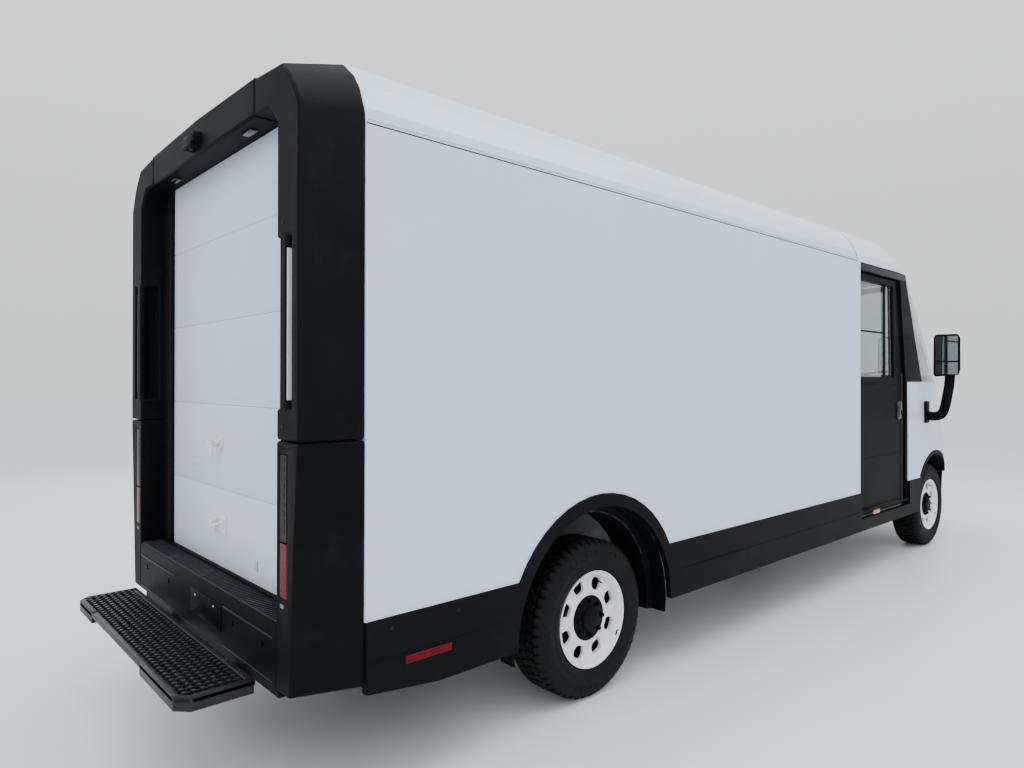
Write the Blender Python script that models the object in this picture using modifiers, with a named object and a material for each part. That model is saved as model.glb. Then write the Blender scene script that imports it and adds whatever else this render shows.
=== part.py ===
"""Walk-in cargo van: a long white load box behind a short cab, on four wheels.

Axes: +X forward, +Y to the van's left, +Z up. The origin is on the ground, half
way between the rear step and the nose. All sizes are in metres.
"""
import math

import bmesh
import bpy
from mathutils import Matrix, Vector

# ---------------------------------------------------------------- driving sizes
WHEELBASE = 4.655
FRONT_OVERHANG = 0.925          # front axle to the nose
REAR_OVERHANG = 1.790           # rear axle to the rear edge of the step
BODY_HALF_WIDTH = 1.008         # outer face of the white side walls
FLOOR_TOP = 0.660               # load floor above the ground
WALL_TOP = 2.395                # seam between side wall and roof
ROOF_RISE = 0.300               # seam to the roof's highest line

# small fits
TOUCH = 0.0003                  # gap between pieces that meet
SHUT = 0.006                    # gap round a piece that opens

# wheels
TYRE_RADIUS = 0.371
TYRE_WIDTH = 0.225
RIM_RADIUS = 0.2265
RIM_WALL = 0.012
TYRE_OUTER_Y = 0.965
HUB_BORE_RADIUS = 0.046
STUB_RADIUS = 0.040
STUB_SETBACK = 0.060            # tyre's outer face in to the end of its stub
KINGPIN_Y = 0.800
HAND_HOLES = 8
HAND_HOLE_CIRCLE = 0.128
WHEEL_STEPS = 32

# chassis and axles
FLOOR_THICKNESS = 0.060
RAIL_INNER_Y = 0.360
RAIL_OUTER_Y = 0.440
RAIL_FRONT_REACH = 0.450        # front axle forward to the end of the rails
RAIL_REAR_GAP = 0.010           # rear surround forward to the start of the rails
AXLE_TUBE_RADIUS = 0.065
AXLE_HALF_LENGTH = 0.700
AXLE_TO_RAIL = 0.014            # clearance over the axle tube
BEAM_TOP = 0.005                # front beam's upper face above the wheel centres
HOUSING_TO_BEAM = 0.044         # front beam up to the wheel housings' lower edge
MEMBER_HALF = 0.040             # half the width of a cross member
HUNG_GAP = 0.010                # rails to what hangs under them
BATTERY_HALF_WIDTH = 0.560
BATTERY_BOTTOM = 0.250
BATTERY_SETBACK = 0.700         # each axle to the near end of the battery

# wheel arches
ARCH_GAP = 0.169                # tyre to the rear flare's inner edge
FLARE_BAND = 0.060
FRONT_ARCH_GAP = 0.099          # tyre to the edge of the front arch
LINER_GAP = 0.020               # flare's inner edge to the wheel box
LINER_WALL = 0.020

# side walls, with a pocket at the front end for the sliding cab door
WALL_THICKNESS = 0.105
WALL_SKIN = 0.022
WALL_BOTTOM = 0.655
POCKET_LENGTH = 0.870
BOX_FRONT_SETBACK = 1.685       # front axle back to the front edge of the side wall
INSIDE_GAP = 0.0035             # side wall to the floor and the bulkhead
ROOF_SEAM_SETBACK = 0.050
ROOF_THICKNESS = 0.045
CAB_ROOF_THICKNESS = 0.035

# rear surround, the frame of black mouldings round the rear door
SURROUND_DEPTH = 0.237
SURROUND_REAR = 1.494           # rear axle back to the rear face
SURROUND_BOTTOM = 0.430
PILLAR_SPLIT_Z = 1.290
PILLAR_INNER_Y = 0.815
HEADER_HALF_WIDTH = 0.620
HEADER_LIFT = 0.070             # seam at the side wall up to the header's lower edge
SLOT_LOW = 1.400
SLOT_HIGH = 1.985
GRAB_BAR_INSET = 0.021          # pillar's inner face out to the grab bar
GRAB_BAR_WIDTH = 0.055
GRAB_BAR_DEPTH = 0.030
SLOT_WIDTH = 0.035              # slot outside the grab bar
SLOT_DEPTH = 0.085
LAMP_INSET = 0.027              # pillar's inner face out to the tail lamp
LAMP_WIDTH = 0.056
LAMP_LOW = 0.755
LAMP_HIGH = 1.245
LAMP_DEPTH = 0.020
BUMPER_SKIRT = 0.045            # bumper below the pillars' feet

# rear roll-up door
REAR_DOOR_DEPTH = 0.110         # rear face of the surround forward to the door
REAR_DOOR_THICKNESS = 0.040
REAR_DOOR_GAP = 0.010
LOCK_Z = 1.230
LOCK_RADIUS = 0.034

# rear step
STEP_DEPTH = 0.260
STEP_HALF_WIDTH = 0.735
STEP_CORNER = 0.040             # chamfer of the step's rear corners in plan
STEP_TOP = 0.455
STEP_THICKNESS = 0.045
STEP_ARM_HEIGHT = 0.040
STEP_ARM_REACH = 0.150          # rails' rear ends forward to the end of the step's arms

# sliding cab doors
DOOR_THICKNESS = 0.045
DOOR_CLEARANCE = 0.0065
DOOR_BOTTOM = 0.470
DOOR_HEAD = 0.069               # seam at the roof down to the top of the door
DOOR_OVERLAP = 0.030            # rear edge of the door inside the pocket
DOOR_SETBACK = 0.725            # front axle back to the front edge of the opening
DOOR_HEAD_SETBACK = 0.855       # the same at the top, where the opening slants
PILLAR_HEAD_SETBACK = 0.740     # front axle back to the slanting pillar's upper end
PILLAR_FOOT_SETBACK = 0.330
POST_WIDTH = 0.042              # upright in front of the door, below the belt
BELT_Z = 1.490
WINDOW_MARGIN = 0.070
WINDOW_FRONT_MARGIN = 0.210
DOOR_GLASS_THICKNESS = 0.006
SILL_BOTTOM = 0.370
SILL_PROUD = 0.010

# nose: height, inset from the body's half width, shoulder and nose from the front axle
NOSE_POWER = 2.3                # squareness of the rounded front in plan
NOSE_SKIN = 0.030
BUMPER_SKIN = 0.040
HOOD_HALF_WIDTH = 0.614
BUMPER_BOTTOM = 0.330
BUMPER_TOP = 0.652
FASCIA_TOP = 0.945
LAMP_TOP = 1.000
BAND_GAP = 0.003
NOSE_LEVELS = (
    (WALL_BOTTOM, 0.003, 0.110, FRONT_OVERHANG - 0.010),
    (LAMP_TOP + BAND_GAP, 0.003, 0.070, FRONT_OVERHANG - 0.020),
    (1.150, 0.004, -0.060, FRONT_OVERHANG - 0.070),
    (1.300, 0.008, -0.090, FRONT_OVERHANG - 0.200),
    (1.420, 0.011, -0.060, FRONT_OVERHANG - 0.360),
    (BELT_Z - BAND_GAP, 0.013, -0.040, FRONT_OVERHANG - 0.450),
)
BUMPER_LEVELS = (
    (BUMPER_BOTTOM, 0.028, 0.090, FRONT_OVERHANG - 0.050),
    (0.430, 0.005, 0.080, FRONT_OVERHANG),
    (BUMPER_TOP, 0.003, 0.110, FRONT_OVERHANG),
)
FASCIA_LEVELS = (
    (WALL_BOTTOM, 0.005, 0.108, FRONT_OVERHANG - 0.012),
    (FASCIA_TOP, 0.005, 0.075, FRONT_OVERHANG - 0.022),
)
LAMP_LEVELS = (
    (FASCIA_TOP + BAND_GAP, 0.005, 0.075, FRONT_OVERHANG - 0.020),
    (LAMP_TOP, 0.005, 0.068, FRONT_OVERHANG - 0.022),
)

# windscreen: inset, rear edge, shoulder and nose from the front axle, at its foot and its head
GLASS_THICKNESS = 0.012
GLASS_FOOT = (0.013, -0.326, -0.033, FRONT_OVERHANG - 0.460)
GLASS_HEAD = (0.008, -0.736, -0.864, -0.062)

# roof section: inset from the body's half width and rise above the seam
ROOF_STEPS = (
    (0.000, 0.000), (0.008, 0.055), (0.053, 0.150), (0.148, 0.250), (0.308, 0.287), (0.658, 0.298)
)
# and where each of those levels rounds the front: shoulder and nose from the front axle
CAB_ROOF_FRONT = (
    (-0.917, -0.050), (-0.972, -0.100), (-1.048, -0.220), (-1.070, -0.420),
    (-1.300, -0.720), (-1.500, -1.050), (-1.550, -1.250),
)

# mirrors
MIRROR_SETBACK = 0.255
MIRROR_ARM_RADIUS = 0.024
MIRROR_ARM_Z = 1.225
MIRROR_HEAD_LOW = 1.535
MIRROR_HEAD_HIGH = 1.905

# inside the cab
WELL_INNER_Y = 0.600
PLATE = 0.020
WELL_DEPTH_BELOW_DOOR = 0.050
HOUSING_INNER_Y = 0.500
TOE_WALL_SETBACK = 0.055
TOE_WALL_TOP = 1.400
DASH_SETBACK = 0.420
DASH_BOTTOM = 1.000
DASH_TOP = 1.470
DRIVER_Y = 0.450
STEERING_RADIUS = 0.210
STEERING_TILT = math.radians(40)
STEERING_SETBACK = 0.560
STEERING_Z = 1.260
COLUMN_RADIUS = 0.035
SEAT_SETBACK = 1.130
SEAT_HALF_WIDTH = 0.240
CUSHION_BOTTOM = 1.010
BULKHEAD_THICKNESS = 0.030
PASSAGE_RIGHT_Y = -0.420
PASSAGE_LEFT_Y = 0.180
PASSAGE_HEAD = 0.195            # seam at the roof down to the top of the passage
PASSAGE_OVERLAP = 0.030

# ---------------------------------------------------------------- stations
half_length = (REAR_OVERHANG + WHEELBASE + FRONT_OVERHANG) / 2
front_axle_x = half_length - FRONT_OVERHANG
rear_axle_x = front_axle_x - WHEELBASE
surround_rear_x = rear_axle_x - SURROUND_REAR
box_rear_x = surround_rear_x + SURROUND_DEPTH
box_front_x = front_axle_x - BOX_FRONT_SETBACK
roof_seam_x = box_front_x - ROOF_SEAM_SETBACK
opening_front_x = front_axle_x - DOOR_SETBACK
wing_rear_x = opening_front_x + POST_WIDTH + INSIDE_GAP
rail_rear_x = box_rear_x + RAIL_REAR_GAP
rail_front_x = front_axle_x + RAIL_FRONT_REACH
bulkhead_front_x = box_front_x - 0.010
bulkhead_rear_x = bulkhead_front_x - BULKHEAD_THICKNESS
bulkhead_door_rear_x = bulkhead_rear_x - SHUT - BULKHEAD_THICKNESS
cargo_floor_front_x = bulkhead_door_rear_x - 0.010
cab_floor_rear_x = box_front_x + 0.015
wall_inner_y = BODY_HALF_WIDTH - WALL_THICKNESS
inside_half = wall_inner_y - INSIDE_GAP
door_outer_y = BODY_HALF_WIDTH - WALL_SKIN - DOOR_CLEARANCE
door_inner_y = door_outer_y - DOOR_THICKNESS
frame_outer_y = BODY_HALF_WIDTH - 0.008
roof_top = WALL_TOP + ROOF_RISE
header_bottom = WALL_TOP + HEADER_LIFT
door_top = WALL_TOP - DOOR_HEAD
passage_top = WALL_TOP - PASSAGE_HEAD
floor_bottom = FLOOR_TOP - FLOOR_THICKNESS
rail_top = floor_bottom - TOUCH
rail_bottom = TYRE_RADIUS + AXLE_TUBE_RADIUS + AXLE_TO_RAIL
flare_inner = TYRE_RADIUS + ARCH_GAP
flare_outer = flare_inner + FLARE_BAND
front_arch = TYRE_RADIUS + FRONT_ARCH_GAP
column_axis = Vector((-math.sin(STEERING_TILT), 0, math.cos(STEERING_TILT))).normalized()
steering_hub = Vector((front_axle_x - STEERING_SETBACK, DRIVER_Y, STEERING_Z))

# ---------------------------------------------------------------- scene and helpers
for old in list(bpy.data.objects):
    bpy.data.objects.remove(old, do_unlink=True)

van = bpy.data.collections.new("cargo_van")
cutters = bpy.data.collections.new("cutters")
bpy.context.scene.collection.children.link(van)
bpy.context.scene.collection.children.link(cutters)


def make_material(name, colour, roughness, metallic=0.0):
    material = bpy.data.materials.new(name)
    material.use_nodes = True
    shader = material.node_tree.nodes["Principled BSDF"]
    shader.inputs["Base Color"].default_value = (*colour, 1.0)
    shader.inputs["Roughness"].default_value = roughness
    shader.inputs["Metallic"].default_value = metallic
    material.diffuse_color = (*colour, 1.0)
    return material


white_paint = make_material("white_paint", (0.78, 0.81, 0.84), 0.35)
black_plastic = make_material("black_plastic", (0.018, 0.019, 0.022), 0.55)
black_paint = make_material("black_paint", (0.012, 0.012, 0.014), 0.30)
chassis_steel = make_material("chassis_steel", (0.035, 0.036, 0.038), 0.60, 0.4)
tyre_rubber = make_material("tyre_rubber", (0.020, 0.020, 0.020), 0.85)
wheel_paint = make_material("wheel_paint", (0.74, 0.77, 0.80), 0.35)
cab_glass = make_material("cab_glass", (0.30, 0.38, 0.37), 0.05)
floor_coating = make_material("floor_coating", (0.20, 0.21, 0.22), 0.75)
cab_trim = make_material("cab_trim", (0.05, 0.052, 0.056), 0.70)
seat_fabric = make_material("seat_fabric", (0.04, 0.042, 0.046), 0.95)
lamp_red = make_material("lamp_red", (0.22, 0.008, 0.010), 0.20)
lamp_clear = make_material("lamp_clear", (0.75, 0.78, 0.80), 0.10)


def finish(name, mesh, material, location=(0, 0, 0), collection=None):
    """Make the object for a mesh, at a location, in the van or the cutters."""
    mesh.materials.clear()
    if material is not None:
        mesh.materials.append(material)
    item = bpy.data.objects.new(name, mesh)
    item.location = location
    (collection or van).objects.link(item)
    return item


def mesh_from(bm, name):
    """The mesh of a closed form, with its faces pointing out."""
    mesh = bpy.data.meshes.new(name)
    bmesh.ops.recalc_face_normals(bm, faces=bm.faces)
    if bm.calc_volume(signed=True) < 0:
        bmesh.ops.reverse_faces(bm, faces=bm.faces)
    bm.to_mesh(mesh)
    bm.free()
    return mesh


def box(name, low, high, material, bevel=0.0, segments=2):
    """A cuboid between two corners, with its edges rounded by a Bevel."""
    size = [b - a for a, b in zip(low, high)]
    centre = [(a + b) / 2 for a, b in zip(low, high)]
    bm = bmesh.new()
    bmesh.ops.create_cube(bm, size=1.0)
    bmesh.ops.scale(bm, vec=size, verts=bm.verts)
    item = finish(name, mesh_from(bm, name), material, centre)
    if bevel:
        round_edges(item, bevel, segments)
    return item


def round_edges(item, width, segments):
    rounding = item.modifiers.new("rounding", "BEVEL")
    rounding.width = width
    rounding.segments = segments
    rounding.limit_method = "ANGLE"
    rounding.angle_limit = math.radians(50)


TURN = {
    "x": Matrix(((0, 0, 1), (1, 0, 0), (0, 1, 0))).to_4x4(),
    "y": Matrix(((1, 0, 0), (0, 0, -1), (0, 1, 0))).to_4x4(),
    "z": Matrix.Identity(4),
}


def mesh_of_curve(curve, name):
    """The closed mesh of a curve, with its caps welded on."""
    source = bpy.data.objects.new(name, curve)
    van.objects.link(source)
    evaluated = source.evaluated_get(bpy.context.evaluated_depsgraph_get())
    bm = bmesh.new()
    bm.from_mesh(bpy.data.meshes.new_from_object(evaluated))
    bpy.data.objects.remove(source, do_unlink=True)
    bmesh.ops.remove_doubles(bm, verts=bm.verts, dist=0.0001)
    return bm


def flat(name, rings, axis, low, high, material):
    """A flat outline, with any holes, made solid between two places on an axis.

    An outline for axis x lists (y, z) points, for y (x, z) and for z (x, y).
    """
    curve = bpy.data.curves.new(name, "CURVE")
    curve.dimensions = "2D"
    curve.fill_mode = "BOTH"
    curve.extrude = (high - low) / 2
    for ring in rings:
        spline = curve.splines.new("POLY")
        spline.points.add(len(ring) - 1)
        for point, (u, v) in zip(spline.points, ring):
            point.co = (u, v, 0, 1)
        spline.use_cyclic_u = True
    bm = mesh_of_curve(curve, name)
    bm.transform(TURN[axis])
    middle = (low + high) / 2
    place = [middle if axis == letter else 0 for letter in "xyz"]
    return finish(name, mesh_from(bm, name), material, place)


def rod(name, points, radius, material, resolution=2):
    """A round bar along a line of points."""
    curve = bpy.data.curves.new(name, "CURVE")
    curve.dimensions = "3D"
    curve.bevel_depth = radius
    curve.bevel_resolution = resolution
    curve.use_fill_caps = True
    spline = curve.splines.new("POLY")
    spline.points.add(len(points) - 1)
    for point, place in zip(spline.points, points):
        point.co = (*place, 1)
    bm = mesh_of_curve(curve, name)
    return finish(name, mesh_from(bm, name), material)


def loft(name, rings, material):
    """A solid through closed rings that have the same number of points each."""
    bm = bmesh.new()
    rows = [[bm.verts.new(point) for point in ring] for ring in rings]
    count = len(rows[0])
    for near, far in zip(rows, rows[1:]):
        for i in range(count):
            j = (i + 1) % count
            bm.faces.new((near[i], near[j], far[j], far[i]))
    bm.faces.new(rows[0])
    bm.faces.new(rows[-1])
    return finish(name, mesh_from(bm, name), material)


def shell(name, rows, thickness, material):
    """An open surface through rows of points, given its thickness inwards."""
    bm = bmesh.new()
    grid = [[bm.verts.new(point) for point in row] for row in rows]
    for near, far in zip(grid, grid[1:]):
        for i in range(len(near) - 1):
            bm.faces.new((near[i], near[i + 1], far[i + 1], far[i]))
    bmesh.ops.recalc_face_normals(bm, faces=bm.faces)
    middle = sum((v.co for v in bm.verts), Vector()) / len(bm.verts)
    outward = sum((f.calc_center_median() - middle).dot(f.normal) for f in bm.faces)
    if outward < 0:
        bmesh.ops.reverse_faces(bm, faces=bm.faces)
    mesh = bpy.data.meshes.new(name)
    bm.to_mesh(mesh)
    bm.free()
    item = finish(name, mesh, material)
    wall = item.modifiers.new("wall", "SOLIDIFY")
    wall.thickness = thickness
    wall.offset = -1
    wall.use_even_offset = False
    return item


def turned(name, profile, centre, material, side=1, steps=WHEEL_STEPS):
    """A piece turned about the Y axis. The profile lists (radius, y) points."""
    bm = bmesh.new()
    points = [bm.verts.new((radius, 0, along)) for radius, along in profile]
    for near, far in zip(points, points[1:]):
        bm.edges.new((near, far))
    if profile[0][0] > 0:
        bm.edges.new((points[-1], points[0]))
    mesh = bpy.data.meshes.new(name)
    bm.to_mesh(mesh)
    bm.free()
    item = finish(name, mesh, material, centre)
    item.rotation_euler = (math.radians(-90 * side), 0, 0)
    spin = item.modifiers.new("turn", "SCREW")
    spin.axis = "Z"
    spin.steps = steps
    spin.render_steps = steps
    spin.use_merge_vertices = True
    spin.merge_threshold = 0.0001
    spin.use_normal_calculate = True
    mesh.shade_smooth()
    return item


def boolean(item, other, operation):
    """Cut or join another object, which becomes a hidden cutter."""
    step = item.modifiers.new(operation.lower(), "BOOLEAN")
    step.operation = operation
    step.object = other
    step.solver = "EXACT"
    for home in list(other.users_collection):
        home.objects.unlink(other)
    cutters.objects.link(other)
    other.hide_render = True
    other.display_type = "WIRE"
    return item


def cut(item, *others):
    for other in others:
        boolean(item, other, "DIFFERENCE")
    return item


def join(item, *others):
    for other in others:
        boolean(item, other, "UNION")
    return item


def pivot(name, place):
    """An empty on a joint's axis."""
    empty = bpy.data.objects.new(name, None)
    empty.location = place
    van.objects.link(empty)
    return empty


def hang(empty, *items):
    """Parent pieces to an empty without moving them."""
    for item in items:
        item.parent = empty
        item.matrix_parent_inverse = Matrix.Translation(empty.location).inverted()
        for step in item.modifiers:
            if step.type == "BOOLEAN":
                hang(empty, step.object)


def arc(centre, radius, start, end, count):
    """Points on an arc, angles in degrees from the first axis."""
    angles = [math.radians(start + (end - start) * i / count) for i in range(count + 1)]
    return [(centre[0] + radius * math.cos(a), centre[1] + radius * math.sin(a)) for a in angles]


SIDES = (("left", 1), ("right", -1))


def y_span(side, near, far):
    """Lowest and highest Y of a layer that lies between two distances from the middle."""
    return (near, far) if side > 0 else (-far, -near)


def cylinder(name, centre, radius, low, high, axis, material, steps=32):
    """A round bar along an axis, between two places on it."""
    bm = bmesh.new()
    bmesh.ops.create_cone(
        bm, cap_ends=True, segments=steps, radius1=radius, radius2=radius, depth=high - low
    )
    bm.transform(TURN[axis])
    place = list(centre)
    place["xyz".index(axis)] = (low + high) / 2
    return finish(name, mesh_from(bm, name), material, place)


def plan_ring(inset, rear_x, shoulder, nose, z, count=12):
    """A level line round the front of the cab, its shoulder and nose measured from the front axle.

    Each side runs straight from the rear edge to the shoulder and then rounds the nose. Where
    the rear edge lies in front of the shoulder, the line starts on the rounding.
    """
    half_width = BODY_HALF_WIDTH - inset
    shoulder_x = front_axle_x + shoulder
    length = nose - shoulder
    lead = 0.030
    edge_share = max(0.0, (rear_x - shoulder_x) / length)
    edge_y = half_width * (1 - edge_share ** NOSE_POWER) ** (1 / NOSE_POWER)
    first_share = max(0.0, (rear_x + lead - shoulder_x) / length)
    first = math.acos(first_share ** (NOSE_POWER / 2))
    ring = [(rear_x, -edge_y, z)]
    for i in range(count + 1):
        angle = first * (2 * i / count - 1)
        forward = math.cos(angle) ** (2 / NOSE_POWER) if abs(angle) < math.pi / 2 else 0.0
        sideways = math.copysign(abs(math.sin(angle)) ** (2 / NOSE_POWER), math.sin(angle))
        ring.append((shoulder_x + length * forward, half_width * sideways, z))
    ring.append((rear_x, edge_y, z))
    return ring


def chord(radius, height):
    """Half the width of a circle at a height above its centre."""
    return math.sqrt(radius ** 2 - height ** 2)


# ---------------------------------------------------------------- running gear
def chassis():
    frame = None
    for side_name, side in SIDES:
        low, high = y_span(side, RAIL_INNER_Y, RAIL_OUTER_Y)
        rail = box(
            "chassis_frame" if frame is None else f"rail_{side_name}",
            (rail_rear_x, low, rail_bottom),
            (rail_front_x, high, rail_top),
            chassis_steel,
        )
        if frame is None:
            frame = rail
        else:
            join(frame, rail)
    reach = 0.450
    stations = (
        rail_rear_x + MEMBER_HALF + 0.01,
        rear_axle_x - reach,
        rear_axle_x + reach,
        (rear_axle_x + front_axle_x) / 2,
        front_axle_x - reach,
        rail_front_x - MEMBER_HALF - 0.01,
    )
    for i, x in enumerate(stations):
        member = box(
            f"crossmember_{i}",
            (x - MEMBER_HALF, -RAIL_INNER_Y - 0.02, rail_bottom + 0.010),
            (x + MEMBER_HALF, RAIL_INNER_Y + 0.02, rail_top - 0.030),
            chassis_steel,
        )
        join(frame, member)
    box(
        "battery_pack",
        (rear_axle_x + BATTERY_SETBACK, -BATTERY_HALF_WIDTH, BATTERY_BOTTOM),
        (front_axle_x - BATTERY_SETBACK, BATTERY_HALF_WIDTH, rail_bottom - HUNG_GAP),
        chassis_steel,
        bevel=0.02,
    )


def axles():
    """The rear axle with its motor, and the front beam that holds the kingpins."""
    stub_end_y = TYRE_OUTER_Y - STUB_SETBACK
    centre = (rear_axle_x, 0, TYRE_RADIUS)
    rear = cylinder("rear_axle", centre, STUB_RADIUS, -stub_end_y, stub_end_y, "y", chassis_steel)
    tube = cylinder(
        "axle_tube", centre, AXLE_TUBE_RADIUS, -AXLE_HALF_LENGTH, AXLE_HALF_LENGTH,
        "y", chassis_steel
    )
    motor = box(
        "drive_motor",
        (rear_axle_x - 0.180, -0.280, TYRE_RADIUS - 0.140),
        (rear_axle_x + 0.250, 0.280, rail_bottom - HUNG_GAP),
        chassis_steel,
        bevel=0.03,
    )
    join(rear, tube, motor)

    beam = box(
        "front_axle",
        (front_axle_x - 0.040, -AXLE_HALF_LENGTH, TYRE_RADIUS - 0.075),
        (front_axle_x + 0.040, AXLE_HALF_LENGTH, TYRE_RADIUS + BEAM_TOP),
        chassis_steel,
    )
    arm_half = 0.030
    arm_level = 0.130
    arm_rise = 0.015
    for side_name, side in SIDES:
        low, high = y_span(side, AXLE_HALF_LENGTH - 0.040, AXLE_HALF_LENGTH)
        post = box(
            f"post_{side_name}",
            (front_axle_x - arm_half, low, TYRE_RADIUS - arm_level - arm_rise),
            (front_axle_x + arm_half, high, TYRE_RADIUS + arm_level + arm_rise),
            chassis_steel,
        )
        join(beam, post)
        for level in (-1, 1):
            low, high = y_span(side, AXLE_HALF_LENGTH - 0.020, KINGPIN_Y + 0.035)
            middle = TYRE_RADIUS + level * arm_level
            arm = box(
                f"arm_{side_name}_{level}",
                (front_axle_x - arm_half, low, middle - arm_rise),
                (front_axle_x + arm_half, high, middle + arm_rise),
                chassis_steel,
            )
            join(beam, arm)


def knuckle(side_name, side):
    centre = Vector((front_axle_x, side * KINGPIN_Y, TYRE_RADIUS))
    post = cylinder(
        f"knuckle_{side_name}", centre, 0.035, TYRE_RADIUS - 0.110, TYRE_RADIUS + 0.110,
        "z", chassis_steel, steps=24
    )
    low, high = y_span(side, KINGPIN_Y, TYRE_OUTER_Y - STUB_SETBACK)
    stub = cylinder(
        f"stub_{side_name}", centre, STUB_RADIUS, low, high, "y", chassis_steel, steps=24
    )
    join(post, stub)
    hang(pivot(f"axis_steer_{side_name}", centre), post, stub)


def wheel(place_name, side, axle_x):
    """Tyre and rim, turned on the stub. Profile distances run outwards from the tyre's middle."""
    half = TYRE_WIDTH / 2
    centre = Vector((axle_x, side * (TYRE_OUTER_Y - half), TYRE_RADIUS))
    shoulder = TYRE_RADIUS - 0.016
    bead = RIM_RADIUS - RIM_WALL
    tyre_profile = (
        (bead, half - 0.030),
        (RIM_RADIUS + 0.010, half - 0.010),
        (RIM_RADIUS + 0.055, half),
        (shoulder, half - 0.014),
        (TYRE_RADIUS, half - 0.036),
        (TYRE_RADIUS, -half + 0.036),
        (shoulder, -half + 0.014),
        (RIM_RADIUS + 0.055, -half),
        (RIM_RADIUS + 0.010, -half + 0.010),
        (bead, -half + 0.030),
    )
    tyre = turned(f"tyre_{place_name}", tyre_profile, centre, tyre_rubber, side)
    barrel = bead - TOUCH
    wall = barrel - RIM_WALL
    disc = half - 0.045
    rim_profile = (
        (HUB_BORE_RADIUS, -half + 0.095),
        (HUB_BORE_RADIUS, disc - 0.008),
        (0.0, disc - 0.008),
        (0.0, half - 0.012),
        (0.056, half - 0.012),
        (0.066, disc + 0.008),
        (0.165, disc - 0.006),
        (0.190, disc + 0.018),
        (RIM_RADIUS, half - 0.008),
        (barrel, half - 0.029),
        (barrel, -half + 0.029),
        (RIM_RADIUS, -half + 0.008),
        (wall, -half + 0.028),
        (wall, disc - 0.020),
        (0.165, disc - 0.016),
        (0.066, disc - 0.004),
        (0.062, -half + 0.095),
    )
    rim_points = list(reversed(rim_profile))
    rim = turned(f"rim_{place_name}", rim_points, centre, wheel_paint, side)
    for i in range(HAND_HOLES):
        angle = 2 * math.pi * (i + 0.5) / HAND_HOLES
        spot = centre + HAND_HOLE_CIRCLE * Vector((math.cos(angle), 0, math.sin(angle)))
        hole = box(
            f"hand_hole_{place_name}_{i}",
            (-0.019, -0.060, -0.024),
            (0.019, 0.060, 0.024),
            wheel_paint,
            bevel=0.010,
            segments=1,
        )
        hole.location = spot + Vector((0, side * disc, 0))
        hole.rotation_euler = (0, math.pi / 2 - angle, 0)
        cut(rim, hole)
    hang(pivot(f"axis_wheel_{place_name}", centre), tyre, rim)


# ---------------------------------------------------------------- load box
def arch_points(radius, chord_z, axle_x, count=16):
    """The arc of a wheel arch, from its rear foot to its front foot, at a level."""
    rise = math.degrees(math.asin((chord_z - TYRE_RADIUS) / radius))
    return arc((axle_x, TYRE_RADIUS), radius, 180 - rise, rise, count)


def side_wall(side_name, side):
    ring = [
        (box_rear_x, WALL_TOP - TOUCH),
        (box_rear_x, WALL_BOTTOM),
        *arch_points(flare_outer, WALL_BOTTOM, rear_axle_x),
        (box_front_x, WALL_BOTTOM),
        (box_front_x, WALL_TOP - TOUCH),
    ]
    low, high = y_span(side, wall_inner_y, BODY_HALF_WIDTH)
    wall = flat(f"side_wall_{side_name}", [ring], "y", low, high, white_paint)
    pocket_low, pocket_high = y_span(
        side, door_inner_y - DOOR_CLEARANCE, door_outer_y + DOOR_CLEARANCE
    )
    pocket = box(
        f"pocket_{side_name}",
        (box_front_x - POCKET_LENGTH, pocket_low, WALL_BOTTOM - 0.1),
        (box_front_x + 0.1, pocket_high, door_top + DOOR_CLEARANCE),
        white_paint,
    )
    cut(wall, pocket)


def roof_outline(inwards=0.0, drop=0.0):
    """Half the roof's section as (y, z) points, from the seam up to the middle."""
    outline = [
        (BODY_HALF_WIDTH - inset - inwards, WALL_TOP + rise - drop) for inset, rise in ROOF_STEPS
    ]
    return outline + [(0.0, roof_top - drop)]


def cargo_roof():
    outer = roof_outline()
    inner = roof_outline(WALL_THICKNESS - 0.050, ROOF_THICKNESS)[1:]
    foot = (wall_inner_y, WALL_TOP)
    right = [(-y, z) for y, z in outer] + [(y, z) for y, z in reversed(outer[:-1])]
    under = [foot, *inner] + [(-y, z) for y, z in reversed([foot, *inner[:-1]])]
    flat("cargo_roof", [right + under], "x", box_rear_x, roof_seam_x - TOUCH, white_paint)


def floors():
    floor = box(
        "cargo_floor",
        (box_rear_x + TOUCH, -inside_half, floor_bottom),
        (cargo_floor_front_x, inside_half, FLOOR_TOP),
        floor_coating,
    )
    centre = (rear_axle_x, 0, TYRE_RADIUS)
    tyre_inner_y = TYRE_OUTER_Y - TYRE_WIDTH
    far = 1.0
    for side_name, side in SIDES:
        low, high = y_span(side, tyre_inner_y - 2 * LINER_WALL, inside_half)
        arch = cylinder(
            f"wheel_box_{side_name}", centre, flare_inner - LINER_GAP, low, high, "y", floor_coating
        )
        below = box(
            f"below_{side_name}",
            (rear_axle_x - far, low - 0.1, TYRE_RADIUS - far),
            (rear_axle_x + far, high + 0.1, floor_bottom),
            floor_coating,
        )
        cut(arch, below)
        join(floor, arch)
    for side_name, side in SIDES:
        low, high = y_span(side, tyre_inner_y - LINER_WALL, inside_half + 0.1)
        space = cylinder(
            f"wheel_space_{side_name}", centre, flare_inner - LINER_GAP - LINER_WALL,
            low, high, "y", floor_coating
        )
        cut(floor, space)


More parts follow.
